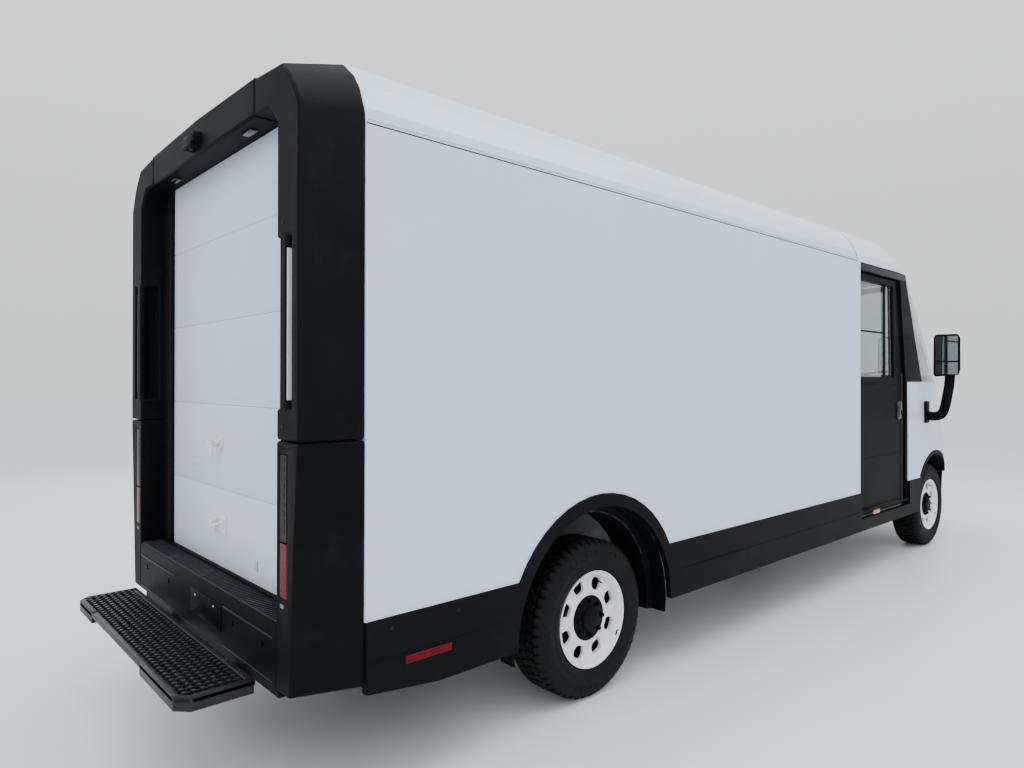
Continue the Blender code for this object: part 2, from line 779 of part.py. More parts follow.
def rear_surround():
    """Pillars and header: each runs from its rear section to the section at the side wall."""
    front_x = box_rear_x - TOUCH
    half_split = 0.002
    upper_foot = PILLAR_SPLIT_Z + half_split
    lower_head = PILLAR_SPLIT_Z - half_split
    inner_edge = [
        (PILLAR_INNER_Y, upper_foot), (PILLAR_INNER_Y, header_bottom - 0.075),
        (PILLAR_INNER_Y - 0.070, header_bottom), (HEADER_HALF_WIDTH, header_bottom),
    ]
    # inset from the body's half width and rise above the seam, from the header down
    rear_corner = ((0.162, 0.189), (0.103, 0.135), (0.053, 0.070), (0.023, 0.010))
    front_corner = ((0.148, 0.250), (0.074, 0.188), (0.035, 0.130), (0.000, 0.035))
    header_rear_top = WALL_TOP + 0.207
    header_front_top = WALL_TOP + 0.277
    rear_upper = [
        (HEADER_HALF_WIDTH, header_rear_top),
        *((BODY_HALF_WIDTH - inset, WALL_TOP + rise) for inset, rise in rear_corner),
        (BODY_HALF_WIDTH - 0.023, upper_foot),
        *inner_edge,
    ]
    front_upper = [
        (HEADER_HALF_WIDTH, header_front_top),
        *((BODY_HALF_WIDTH - inset, WALL_TOP + rise) for inset, rise in front_corner),
        (BODY_HALF_WIDTH - 0.002, upper_foot),
        *inner_edge,
    ]
    rear_lower = [
        (PILLAR_INNER_Y, SURROUND_BOTTOM), (BODY_HALF_WIDTH - 0.090, SURROUND_BOTTOM),
        (BODY_HALF_WIDTH - 0.026, lower_head), (PILLAR_INNER_Y, lower_head),
    ]
    front_lower = [
        (PILLAR_INNER_Y, SURROUND_BOTTOM), (BODY_HALF_WIDTH - 0.008, SURROUND_BOTTOM),
        (BODY_HALF_WIDTH - 0.002, lower_head), (PILLAR_INNER_Y, lower_head),
    ]
    bar_near = PILLAR_INNER_Y + GRAB_BAR_INSET
    slot_near = bar_near + GRAB_BAR_WIDTH
    slot_far = slot_near + SLOT_WIDTH
    bar_x = surround_rear_x + GRAB_BAR_DEPTH
    slot_x = surround_rear_x + SLOT_DEPTH
    outside_x = surround_rear_x - 0.010
    beside_y = PILLAR_INNER_Y - 0.015
    slot_outline = (
        (outside_x, slot_near), (outside_x, slot_far), (slot_x, slot_far),
        (slot_x, beside_y), (bar_x, beside_y), (bar_x, slot_near),
    )
    for side_name, side in SIDES:
        rings = [
            [(surround_rear_x, side * y, z) for y, z in rear_upper],
            [(front_x, side * y, z) for y, z in front_upper],
        ]
        pillar = loft(f"rear_pillar_{side_name}", rings, black_plastic)
        ring = [(x, side * y) for x, y in slot_outline]
        slot = flat(f"slot_{side_name}", [ring], "z", SLOT_LOW, SLOT_HIGH, black_plastic)
        low, high = y_span(side, beside_y, bar_near)
        bar_side = box(
            f"bar_side_{side_name}",
            (outside_x, low, SLOT_LOW),
            (slot_x, high, SLOT_HIGH),
            black_plastic,
        )
        cut(pillar, slot, bar_side)
        rings = [
            [(surround_rear_x, side * y, z) for y, z in rear_lower],
            [(front_x, side * y, z) for y, z in front_lower],
        ]
        lower = loft(f"rear_lower_pillar_{side_name}", rings, black_plastic)
        low, high = y_span(
            side, PILLAR_INNER_Y + LAMP_INSET, PILLAR_INNER_Y + LAMP_INSET + LAMP_WIDTH
        )
        lamp_space = box(
            f"lamp_space_{side_name}",
            (surround_rear_x - 0.05, low, LAMP_LOW),
            (surround_rear_x + LAMP_DEPTH, high, LAMP_HIGH),
            black_plastic,
        )
        cut(lower, lamp_space)
        box(
            f"tail_lamp_{side_name}",
            (surround_rear_x + 0.001, low + TOUCH, LAMP_LOW + TOUCH),
            (surround_rear_x + LAMP_DEPTH - TOUCH, high - TOUCH, LAMP_HIGH - TOUCH),
            lamp_red,
        )
    half = HEADER_HALF_WIDTH - half_split
    foot = [(-half, header_bottom), (half, header_bottom)]
    crown = 0.014
    rings = []
    for x, top in ((surround_rear_x, header_rear_top), (front_x, header_front_top)):
        head = [(half, top + 0.005), (0.0, top + 0.005 + crown), (-half, top + 0.005)]
        rings.append([(x, y, z) for y, z in foot + head])
    loft("rear_header", rings, black_plastic)


def rear_bumper():
    """Deep bumper with a narrower skirt, which meets the step's arms."""
    inner = PILLAR_INNER_Y - TOUCH
    bumper = box(
        "rear_bumper",
        (surround_rear_x, -inner, SURROUND_BOTTOM),
        (box_rear_x - TOUCH, inner, FLOOR_TOP),
        black_plastic,
    )
    skirt = box(
        "bumper_skirt",
        (surround_rear_x + 0.020, -inner + 0.020, SURROUND_BOTTOM - BUMPER_SKIRT),
        (box_rear_x - 0.040, inner - 0.020, SURROUND_BOTTOM + 0.020),
        black_plastic,
    )
    join(bumper, skirt)


def rear_door():
    """Roll-up door with cut upper corners, and its turning lock."""
    inner = PILLAR_INNER_Y - TOUCH
    rear_x = surround_rear_x + REAR_DOOR_DEPTH
    door = box(
        "rear_door",
        (rear_x, -inner, FLOOR_TOP + REAR_DOOR_GAP),
        (rear_x + REAR_DOOR_THICKNESS, inner, header_bottom - 0.002),
        white_paint,
    )
    for corner in (-1, 1):
        low, high = y_span(corner, PILLAR_INNER_Y - 0.085, PILLAR_INNER_Y + 0.085)
        shoulder = box(
            f"door_shoulder_{corner}",
            (rear_x - 0.01, low, header_bottom - 0.089),
            (rear_x + REAR_DOOR_THICKNESS + 0.01, high, header_bottom + 0.1),
            white_paint,
        )
        cut(door, shoulder)
    lock = cylinder(
        "rear_door_lock", (0, 0, LOCK_Z), LOCK_RADIUS, rear_x - 0.012, rear_x - TOUCH,
        "x", wheel_paint, steps=20
    )
    spindle = cylinder(
        "lock_spindle", (0, 0, LOCK_Z), 0.012, rear_x - 0.045, rear_x - 0.008,
        "x", wheel_paint, steps=12
    )
    grip = box(
        "lock_grip",
        (rear_x - 0.055, -0.012, LOCK_Z - 0.075),
        (rear_x - 0.040, 0.012, LOCK_Z + 0.015),
        wheel_paint,
        bevel=0.004,
    )
    join(lock, spindle, grip)


def rear_step():
    """Step plate on two arms, which pass under the bumper to the rails."""
    step_bottom = STEP_TOP - STEP_THICKNESS
    step_front_x = -half_length + STEP_DEPTH
    arm_top = SURROUND_BOTTOM - BUMPER_SKIRT - SHUT
    half_outline = [
        (step_front_x, STEP_HALF_WIDTH),
        (-half_length + STEP_CORNER, STEP_HALF_WIDTH),
        (-half_length, STEP_HALF_WIDTH - STEP_CORNER),
    ]
    ring = half_outline + [(x, -y) for x, y in reversed(half_outline)]
    step = flat("rear_step", [ring], "z", step_bottom, STEP_TOP, black_plastic)
    for side_name, side in SIDES:
        low, high = y_span(side, RAIL_INNER_Y, RAIL_OUTER_Y)
        arm = box(
            f"step_arm_{side_name}",
            (step_front_x - 0.120, low, arm_top - STEP_ARM_HEIGHT),
            (rail_rear_x + STEP_ARM_REACH, high, arm_top),
            black_plastic,
        )
        rear_riser = box(
            f"step_riser_{side_name}",
            (step_front_x - 0.110, low + 0.01, arm_top - 0.010),
            (step_front_x - 0.010, high - 0.01, step_bottom + 0.010),
            black_plastic,
        )
        front_riser = box(
            f"rail_riser_{side_name}",
            (rail_rear_x + STEP_ARM_REACH - 0.100, low + 0.01, arm_top - 0.010),
            (rail_rear_x + STEP_ARM_REACH - 0.010, high - 0.01, rail_bottom - TOUCH),
            black_plastic,
        )
        join(step, arm, rear_riser, front_riser)


def side_cladding(side_name, side):
    """Black lower moulding: arch flare, sill, and the piece under the front wing."""
    top = WALL_BOTTOM - BAND_GAP
    bottom = SILL_BOTTOM
    arch_foot = chord(flare_inner, TYRE_RADIUS - bottom)
    front_foot = chord(front_arch, TYRE_RADIUS - bottom)
    inner_arch = arc((rear_axle_x, TYRE_RADIUS), flare_inner, 180, 0, 20)
    front_rise = math.degrees(math.asin((top - TYRE_RADIUS) / front_arch))
    front_edge = arc((front_axle_x, TYRE_RADIUS), front_arch, 180, 180 - front_rise, 6)
    ring = [
        (box_rear_x, bottom + 0.035),
        (rear_axle_x - 0.95, bottom),
        (rear_axle_x - arch_foot, bottom),
        *inner_arch,
        (rear_axle_x + arch_foot, bottom),
        (front_axle_x - front_foot, bottom),
        *front_edge,
        (wing_rear_x, top),
        (wing_rear_x, DOOR_BOTTOM - 0.010),
        (box_front_x, DOOR_BOTTOM - 0.010),
        (box_front_x, top),
        *reversed(arch_points(flare_outer - TOUCH, top, rear_axle_x)),
        (box_rear_x, top),
    ]
    low, high = y_span(side, door_outer_y + DOOR_CLEARANCE, BODY_HALF_WIDTH + SILL_PROUD)
    flat(f"side_cladding_{side_name}", [ring], "y", low, high, black_plastic)


# ---------------------------------------------------------------- cab
def nose_rows(levels):
    return [
        plan_ring(inset, wing_rear_x, shoulder, nose, z) for z, inset, shoulder, nose in levels
    ]


def keep(item, low, high):
    """Keep only what lies inside a box."""
    block = box(item.name + "_keep", low, high, None)
    return boolean(item, block, "INTERSECT")


def wings_and_hood():
    far = half_length + 1.0
    for side_name, side in SIDES:
        wing = shell(f"wing_{side_name}", nose_rows(NOSE_LEVELS), NOSE_SKIN, white_paint)
        low, high = y_span(side, HOOD_HALF_WIDTH + SHUT, BODY_HALF_WIDTH + 0.2)
        keep(wing, (opening_front_x, low, WALL_BOTTOM - 0.1), (far, high, BELT_Z + 0.1))
        arch = cylinder(
            f"front_arch_{side_name}", (front_axle_x, 0, TYRE_RADIUS), front_arch,
            low, high, "y", white_paint, steps=48
        )
        front_block = box(
            f"front_block_{side_name}",
            (front_axle_x + front_arch, low - 0.1, 0.0),
            (far, high + 0.1, LAMP_TOP + BAND_GAP),
            white_paint,
        )
        cut(wing, arch, front_block)
    hood = shell("hood", nose_rows(NOSE_LEVELS), NOSE_SKIN, white_paint)
    keep(
        hood,
        (front_axle_x, -HOOD_HALF_WIDTH, LAMP_TOP + SHUT),
        (far, HOOD_HALF_WIDTH, BELT_Z + 0.1),
    )
    hinge = Vector((front_axle_x + FRONT_OVERHANG - 0.445, 0, BELT_Z - 0.005))
    hang(pivot("axis_hood", hinge), hood)


def front_end():
    """Bumper, black fascia and lamp bar, all round the nose in front of the wheel arches."""
    bands = (
        ("front_bumper", black_plastic, BUMPER_LEVELS),
        ("front_fascia", black_paint, FASCIA_LEVELS),
        ("lamp_bar", lamp_clear, LAMP_LEVELS),
    )
    for name, material, levels in bands:
        band = shell(name, nose_rows(levels), BUMPER_SKIN, material)
        trim = 0.001
        low_z = levels[0][0] - trim
        high_z = levels[-1][0] + trim
        keep(
            band,
            (front_axle_x + front_arch + TOUCH, -BODY_HALF_WIDTH - 0.2, low_z),
            (half_length + 0.5, BODY_HALF_WIDTH + 0.2, high_z),
        )


def cab_roof():
    rows = []
    for (half_width, z), (shoulder, nose) in zip(roof_outline(), CAB_ROOF_FRONT):
        rows.append(plan_ring(BODY_HALF_WIDTH - half_width, roof_seam_x, shoulder, nose, z))
    roof = shell("cab_roof", rows, CAB_ROOF_THICKNESS, white_paint)
    bm = bmesh.new()
    bm.from_mesh(roof.data)
    bmesh.ops.remove_doubles(bm, verts=bm.verts, dist=0.0001)
    bmesh.ops.dissolve_degenerate(bm, edges=bm.edges, dist=0.0001)
    bm.to_mesh(roof.data)
    bm.free()
    below = box(
        "cab_roof_trim",
        (roof_seam_x - 0.1, -BODY_HALF_WIDTH - 0.1, WALL_TOP - 0.1),
        (half_length, BODY_HALF_WIDTH + 0.1, WALL_TOP + TOUCH),
        white_paint,
    )
    cut(roof, below)


def windscreen():
    """Wrap-round glass between the belt and the roof, from pillar to pillar."""
    low_z = BELT_Z + INSIDE_GAP
    high_z = WALL_TOP - INSIDE_GAP
    rows = []
    steps = 4
    for i in range(steps + 1):
        share = i / steps
        inset, edge, shoulder, nose = (
            a + (b - a) * share for a, b in zip(GLASS_FOOT, GLASS_HEAD)
        )
        z = low_z + (high_z - low_z) * share
        rows.append(plan_ring(inset, front_axle_x + edge, shoulder, nose, z))
    shell("windscreen", rows, GLASS_THICKNESS, cab_glass)


def door_frame(side_name, side):
    """Header over the cab door and the slanting pillar in front of it."""
    head_x = front_axle_x - DOOR_HEAD_SETBACK
    ring = [
        (box_front_x + TOUCH, WALL_TOP - TOUCH),
        (front_axle_x - PILLAR_HEAD_SETBACK, WALL_TOP - TOUCH),
        (front_axle_x - PILLAR_FOOT_SETBACK, BELT_Z + 0.002),
        (opening_front_x + POST_WIDTH, BELT_Z + 0.002),
        (opening_front_x + POST_WIDTH, DOOR_BOTTOM),
        (opening_front_x, DOOR_BOTTOM),
        (opening_front_x, BELT_Z),
        (head_x, door_top + SHUT),
        (box_front_x + TOUCH, door_top + SHUT),
    ]
    low, high = y_span(side, door_inner_y - 0.010, frame_outer_y)
    flat(f"door_frame_{side_name}", [ring], "y", low, high, black_plastic)


def cab_door(side_name, side):
    rear_x = box_front_x - DOOR_OVERLAP
    front_x = opening_front_x - SHUT
    head_x = front_axle_x - DOOR_HEAD_SETBACK - SHUT - 0.001
    ring = [
        (rear_x, DOOR_BOTTOM), (front_x, DOOR_BOTTOM), (front_x, BELT_Z),
        (head_x, door_top), (rear_x, door_top),
    ]
    window_low = BELT_Z + 0.040
    window_high = door_top - 0.055
    window = [
        (rear_x + WINDOW_MARGIN, window_low), (front_x - WINDOW_FRONT_MARGIN, window_low),
        (head_x - 0.110, window_high), (rear_x + WINDOW_MARGIN, window_high),
    ]
    low, high = y_span(side, door_inner_y, door_outer_y)
    door = flat(f"cab_door_{side_name}", [ring, window], "y", low, high, black_paint)
    middle = (low + high) / 2
    pane = [
        (x + TOUCH * (1 if i in (0, 3) else -1), z + TOUCH * (1 if i in (0, 1) else -1))
        for i, (x, z) in enumerate(window)
    ]
    half = DOOR_GLASS_THICKNESS / 2
    glass = flat(f"door_glass_{side_name}", [pane], "y", middle - half, middle + half, cab_glass)
    axis = pivot(f"axis_cab_door_{side_name}", (rear_x, side * door_inner_y, DOOR_BOTTOM))
    hang(axis, door, glass)


def mirror(side_name, side):
    """Foot on the wing, bent arm and head."""
    foot_x = front_axle_x - MIRROR_SETBACK
    low, high = y_span(side, BODY_HALF_WIDTH - 0.0015, BODY_HALF_WIDTH + 0.022)
    foot = box(
        f"mirror_{side_name}",
        (foot_x - 0.035, low, MIRROR_ARM_Z - 0.095),
        (foot_x + 0.035, high, MIRROR_ARM_Z + 0.095),
        black_plastic,
    )
    arm = rod(
        f"mirror_arm_{side_name}",
        [
            (foot_x, side * (BODY_HALF_WIDTH + 0.015), MIRROR_ARM_Z),
            (foot_x, side * (BODY_HALF_WIDTH + 0.110), MIRROR_ARM_Z),
            (foot_x - 0.010, side * (BODY_HALF_WIDTH + 0.160), MIRROR_ARM_Z + 0.065),
            (foot_x - 0.030, side * (BODY_HALF_WIDTH + 0.190), MIRROR_HEAD_LOW + 0.045),
        ],
        MIRROR_ARM_RADIUS,
        black_plastic,
    )
    low, high = y_span(side, BODY_HALF_WIDTH + 0.075, BODY_HALF_WIDTH + 0.285)
    head = box(
        f"mirror_head_{side_name}",
        (foot_x - 0.075, low, MIRROR_HEAD_LOW),
        (foot_x + 0.025, high, MIRROR_HEAD_HIGH),
        black_plastic,
        bevel=0.025,
    )
    join(foot, arm, head)


def cab_floor():
    """Floor with a step well at each door, and the wall under the dashboard."""
    rear_x = cab_floor_rear_x + TOUCH
    well_bottom = DOOR_BOTTOM - WELL_DEPTH_BELOW_DOOR
    well_front_x = opening_front_x - 0.005
    reach_y = door_inner_y - 0.010
    wall_x = front_axle_x - TOE_WALL_SETBACK
    housing_outer = front_arch + 0.005 + LINER_WALL
    arch_x = front_axle_x - housing_outer
    tunnel_half = HOUSING_INNER_Y - LINER_WALL - TOUCH
    shelf_z = TYRE_RADIUS + housing_outer - 0.010
    toe_half = reach_y - 0.005
    foot_half = tunnel_half + 0.008
    floor = box(
        "cab_floor",
        (rear_x, -WELL_INNER_Y + 0.004, floor_bottom),
        (arch_x + 0.02, WELL_INNER_Y - 0.004, FLOOR_TOP),
        floor_coating,
    )
    middle_half = tunnel_half + 0.005
    tunnel = box(
        "cab_floor_front",
        (arch_x, -middle_half, floor_bottom + 0.002),
        (wall_x + PLATE / 2, middle_half, FLOOR_TOP - 0.002),
        floor_coating,
    )
    toe_wall = flat(
        "toe_wall",
        [[
            (-foot_half, FLOOR_TOP - 0.02), (foot_half, FLOOR_TOP - 0.02),
            (foot_half, shelf_z), (toe_half, shelf_z),
            (toe_half, TOE_WALL_TOP), (-toe_half, TOE_WALL_TOP),
            (-toe_half, shelf_z), (-foot_half, shelf_z),
        ]],
        "x", wall_x, wall_x + PLATE, floor_coating,
    )
    join(floor, tunnel, toe_wall)
    for side_name, side in SIDES:
        low, high = y_span(side, WELL_INNER_Y - PLATE, reach_y)
        block = box(
            f"well_{side_name}",
            (rear_x + 0.001, low, well_bottom),
            (well_front_x, high, FLOOR_TOP - 0.001),
            floor_coating,
        )
        hollow_low, hollow_high = y_span(side, WELL_INNER_Y, reach_y + 0.1)
        hollow = box(
            f"well_space_{side_name}",
            (rear_x + PLATE, hollow_low, DOOR_BOTTOM - 0.010),
            (well_front_x - PLATE, hollow_high, FLOOR_TOP + 0.1),
            floor_coating,
        )
        cut(block, hollow)
        join(floor, block)
        low, high = y_span(side, WELL_INNER_Y - PLATE / 2, reach_y - 0.015)
        ledge = box(
            f"ledge_{side_name}",
            (well_front_x - PLATE / 2, low, floor_bottom + 0.003),
            (arch_x + 0.100, high, FLOOR_TOP - 0.003),
            floor_coating,
        )
        join(floor, ledge)
    steps = 40
    around = (housing_outer + TOUCH) / math.cos(math.pi / steps)
    for side_name, side in SIDES:
        low, high = y_span(side, tunnel_half, BODY_HALF_WIDTH + 0.1)
        space = cylinder(
            f"housing_space_{side_name}", (front_axle_x, 0, TYRE_RADIUS), around,
            low, high, "y", floor_coating, steps
        )
        cut(floor, space)


def wheel_housing(side_name, side):
    """Half-round housing over a front wheel, with its inner wall, kept inside the nose's skin."""
    radius = front_arch + 0.005
    chord_z = TYRE_RADIUS + BEAM_TOP + HOUSING_TO_BEAM
    ring = arch_points(radius + LINER_WALL, chord_z, front_axle_x, 20)
    reach = BODY_HALF_WIDTH - 0.063
    low, high = y_span(side, HOUSING_INNER_Y - LINER_WALL, reach)
    housing = flat(f"wheel_housing_{side_name}", [ring], "y", low, high, black_plastic)
    low, high = y_span(side, HOUSING_INNER_Y, reach + 0.1)
    space = cylinder(
        f"housing_hollow_{side_name}", (front_axle_x, 0, TYRE_RADIUS), radius,
        low, high, "y", black_plastic, steps=40
    )
    cut(housing, space)
    plan = plan_ring(BUMPER_SKIN + 0.018, wing_rear_x, 0.060, FRONT_OVERHANG - 0.060, 0)
    outline = [(x, y) for x, y, z in plan]
    inside = flat(f"inside_nose_{side_name}", [outline], "z", 0.0, LAMP_TOP, black_plastic)
    boolean(housing, inside, "INTERSECT")


def dashboard():
    """Dashboard on the toe wall, its shelf under the windscreen, and the steering column."""
    rear_x = front_axle_x - DASH_SETBACK
    front_x = front_axle_x - TOE_WALL_SETBACK - 0.010
    shelf_front_x = front_axle_x + 0.140
    half = door_inner_y - 0.0345
    ring = [
        (rear_x, DASH_BOTTOM), (rear_x - 0.030, DASH_TOP - 0.180), (rear_x + 0.060, DASH_TOP - 0.050),
        (rear_x + 0.200, DASH_TOP), (shelf_front_x, DASH_TOP), (shelf_front_x, DASH_TOP - 0.030),
        (front_x, TOE_WALL_TOP + 0.010), (front_x, DASH_BOTTOM),
    ]
    dash = flat("dashboard", [ring], "y", -half, half, cab_trim)
    shelf_ring = plan_ring(
        BODY_HALF_WIDTH - half, front_axle_x, 0.020, FRONT_OVERHANG - 0.550, 0
    )
    outline = [(x, y) for x, y, z in shelf_ring]
    shelf = flat("dash_shelf", [outline], "z", DASH_TOP - 0.025, DASH_TOP - 0.0005, cab_trim)
    column = rod(
        "steering_column",
        [tuple(steering_hub - 0.280 * column_axis), tuple(steering_hub - 0.035 * column_axis)],
        COLUMN_RADIUS, cab_trim,
    )
    join(dash, shelf, column)


def steering_wheel():
    bpy.ops.mesh.primitive_torus_add(
        major_radius=STEERING_RADIUS, minor_radius=0.015, major_segments=32, minor_segments=8)
    ring = bpy.context.object
    ring.name = "steering_wheel"
    ring.data.materials.append(cab_trim)
    for home in list(ring.users_collection):
        home.objects.unlink(ring)
    van.objects.link(ring)
    hub = cylinder("steering_hub", (0, 0, 0), 0.050, -0.028, 0.008, "z", cab_trim, steps=20)
    parts = [hub]
    for i in range(3):
        angle = math.radians(90 + 120 * i)
        end = (STEERING_RADIUS * math.cos(angle), STEERING_RADIUS * math.sin(angle), 0)
        spoke = rod(f"steering_spoke_{i}", [(0, 0, -0.012), end], 0.010, cab_trim)
        parts.append(spoke)
    axis = pivot("axis_steering_wheel", steering_hub)
    axis.rotation_euler = (0, -STEERING_TILT, 0)
    join(ring, *parts)
    for item in (ring, *parts):
        item.parent = axis


def seat():
    centre_x = front_axle_x - SEAT_SETBACK
    half = 0.180
    box(
        "seat_base",
        (centre_x - half, DRIVER_Y - half + 0.01, FLOOR_TOP + TOUCH),
        (centre_x + half, DRIVER_Y + half - 0.01, CUSHION_BOTTOM - TOUCH),
        cab_trim,
        bevel=0.02,
    )
    # side view, from the cushion's rear lower corner round by the front and over the backrest
    outline = (
        (-0.250, 0.000), (0.250, 0.000), (0.270, 0.050), (0.250, 0.120), (-0.110, 0.120),
        (-0.200, 0.550), (-0.225, 0.820), (-0.300, 0.820), (-0.320, 0.550), (-0.300, 0.050),
    )
    ring = [(centre_x + x, CUSHION_BOTTOM + z) for x, z in outline]
    flat("seat_pad", [ring], "y", DRIVER_Y - SEAT_HALF_WIDTH, DRIVER_Y + SEAT_HALF_WIDTH, seat_fabric)


def bulkhead():
    """Wall between load space and cab on its threshold, with a door that slides behind it."""
    outline = [
        (inside_half, FLOOR_TOP - 0.010), (inside_half, WALL_TOP + 0.020),
        (BODY_HALF_WIDTH - 0.230, WALL_TOP + 0.130), (BODY_HALF_WIDTH - 0.360, WALL_TOP + 0.200),
    ]
    ring = outline + [(-y, z) for y, z in reversed(outline)]
    foot = FLOOR_TOP + 0.030
    opening = [
        (PASSAGE_RIGHT_Y, foot), (PASSAGE_LEFT_Y, foot),
        (PASSAGE_LEFT_Y, passage_top), (PASSAGE_RIGHT_Y, passage_top),
    ]
    wall = flat("bulkhead", [ring, opening], "x", bulkhead_rear_x, bulkhead_front_x, white_paint)
    threshold = box(
        "bulkhead_threshold",
        (cargo_floor_front_x + TOUCH, -inside_half + 0.001, floor_bottom),
        (cab_floor_rear_x, inside_half - 0.001, FLOOR_TOP),
        white_paint,
    )
    join(wall, threshold)
    door = box(
        "bulkhead_door",
        (bulkhead_door_rear_x, PASSAGE_RIGHT_Y - PASSAGE_OVERLAP, FLOOR_TOP + 0.010),
        (bulkhead_rear_x - SHUT, PASSAGE_LEFT_Y + PASSAGE_OVERLAP, passage_top + PASSAGE_OVERLAP),
        white_paint,
    )
    hang(pivot("axis_bulkhead_door", (bulkhead_rear_x, PASSAGE_RIGHT_Y, FLOOR_TOP)), door)


chassis()
axles()
cargo_roof()
floors()
rear_surround()
rear_bumper()
rear_door()
rear_step()
wings_and_hood()
front_end()
cab_roof()
windscreen()
cab_floor()
dashboard()
steering_wheel()
seat()
bulkhead()
for side_name, side in SIDES:
    side_wall(side_name, side)
    side_cladding(side_name, side)
    door_frame(side_name, side)
    cab_door(side_name, side)
    mirror(side_name, side)
    wheel_housing(side_name, side)
    knuckle(side_name, side)
    wheel(f"front_{side_name}", side, front_axle_x)
    wheel(f"rear_{side_name}", side, rear_axle_x)
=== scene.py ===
import math

import bmesh
import bpy
from mathutils import Matrix, Vector


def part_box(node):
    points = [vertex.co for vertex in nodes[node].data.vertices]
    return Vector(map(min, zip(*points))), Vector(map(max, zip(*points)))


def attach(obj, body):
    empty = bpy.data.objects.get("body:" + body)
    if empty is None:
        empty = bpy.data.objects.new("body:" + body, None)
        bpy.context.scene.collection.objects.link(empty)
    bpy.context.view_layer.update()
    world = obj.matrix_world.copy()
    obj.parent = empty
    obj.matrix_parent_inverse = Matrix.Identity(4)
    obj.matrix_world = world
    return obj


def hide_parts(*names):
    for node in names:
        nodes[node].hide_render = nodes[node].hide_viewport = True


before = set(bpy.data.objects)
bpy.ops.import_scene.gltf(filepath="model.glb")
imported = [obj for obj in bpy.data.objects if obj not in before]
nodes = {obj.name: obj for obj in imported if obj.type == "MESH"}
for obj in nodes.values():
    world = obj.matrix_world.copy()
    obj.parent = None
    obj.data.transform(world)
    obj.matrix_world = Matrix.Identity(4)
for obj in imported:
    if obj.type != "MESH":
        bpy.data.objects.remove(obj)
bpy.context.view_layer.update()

SIDES = (("left", 1), ("right", -1))

# ---------------------------------------------------------------- sizes of the van, in metres
FRONT_AXLE_X = 2.760
REAR_AXLE_X = -1.895
HUB_Z = 0.371
BODY_HALF = 1.008
REAR_X = -3.389
BOX_REAR_X = -3.152
ROOF_JOINT_Z = 2.395
WHEEL_Y = 0.965 - 0.1125            # middle of a tyre: its outer face less half its width
SLATS_X = -3.279                    # rear face of the roll-up door
DOOR_FACE_Y = 0.9795                # outer face of a cab door
DOOR_INNER_Y = 0.9345
FLARE_RADIUS, FLARE_WIDTH = 0.484, 0.036    # of the moulding round a front wheel arch
LINER_RADIUS = 0.464
LAMP_SPLIT_Z = 0.944                # between the two lenses of a tail lamp
NOSE_POWER = 2.3
# height, inset from the body side, shoulder and nose ahead of the front axle
FASCIA = ((0.655, 0.005, 0.108, 0.913), (0.945, 0.005, 0.075, 0.903))
BUMPER = ((0.430, 0.005, 0.080, 0.925), (0.652, 0.003, 0.110, 0.925))
GLASS = ((1.4935, 0.013, -0.033, 0.465), (2.3915, 0.008, -0.864, -0.062))
NOSE = (
    (0.655, 0.003, 0.110, 0.915), (1.003, 0.003, 0.070, 0.905), (1.150, 0.004, -0.060, 0.855),
    (1.300, 0.008, -0.090, 0.725), (1.420, 0.011, -0.060, 0.565), (1.487, 0.013, -0.040, 0.475),
)


# ---------------------------------------------------------------- helpers for materials
def linear(code):
    """An sRGB hex colour as linear RGBA."""
    parts = [int(code[i:i + 2], 16) / 255 for i in (1, 3, 5)]
    return (*[p / 12.92 if p <= 0.04045 else ((p + 0.055) / 1.055) ** 2.4 for p in parts], 1.0)


def add(tree, kind, inputs=None, **settings):
    """Adds one node with its settings, and links or sets its inputs."""
    made = tree.nodes.new(kind)
    for name, value in settings.items():
        setattr(made, name, value)
    for name, value in (inputs or {}).items():
        if isinstance(value, bpy.types.NodeSocket):
            tree.links.new(value, made.inputs[name])
        else:
            made.inputs[name].default_value = value
    return made


USUAL = "usual"
usual_slots = {}


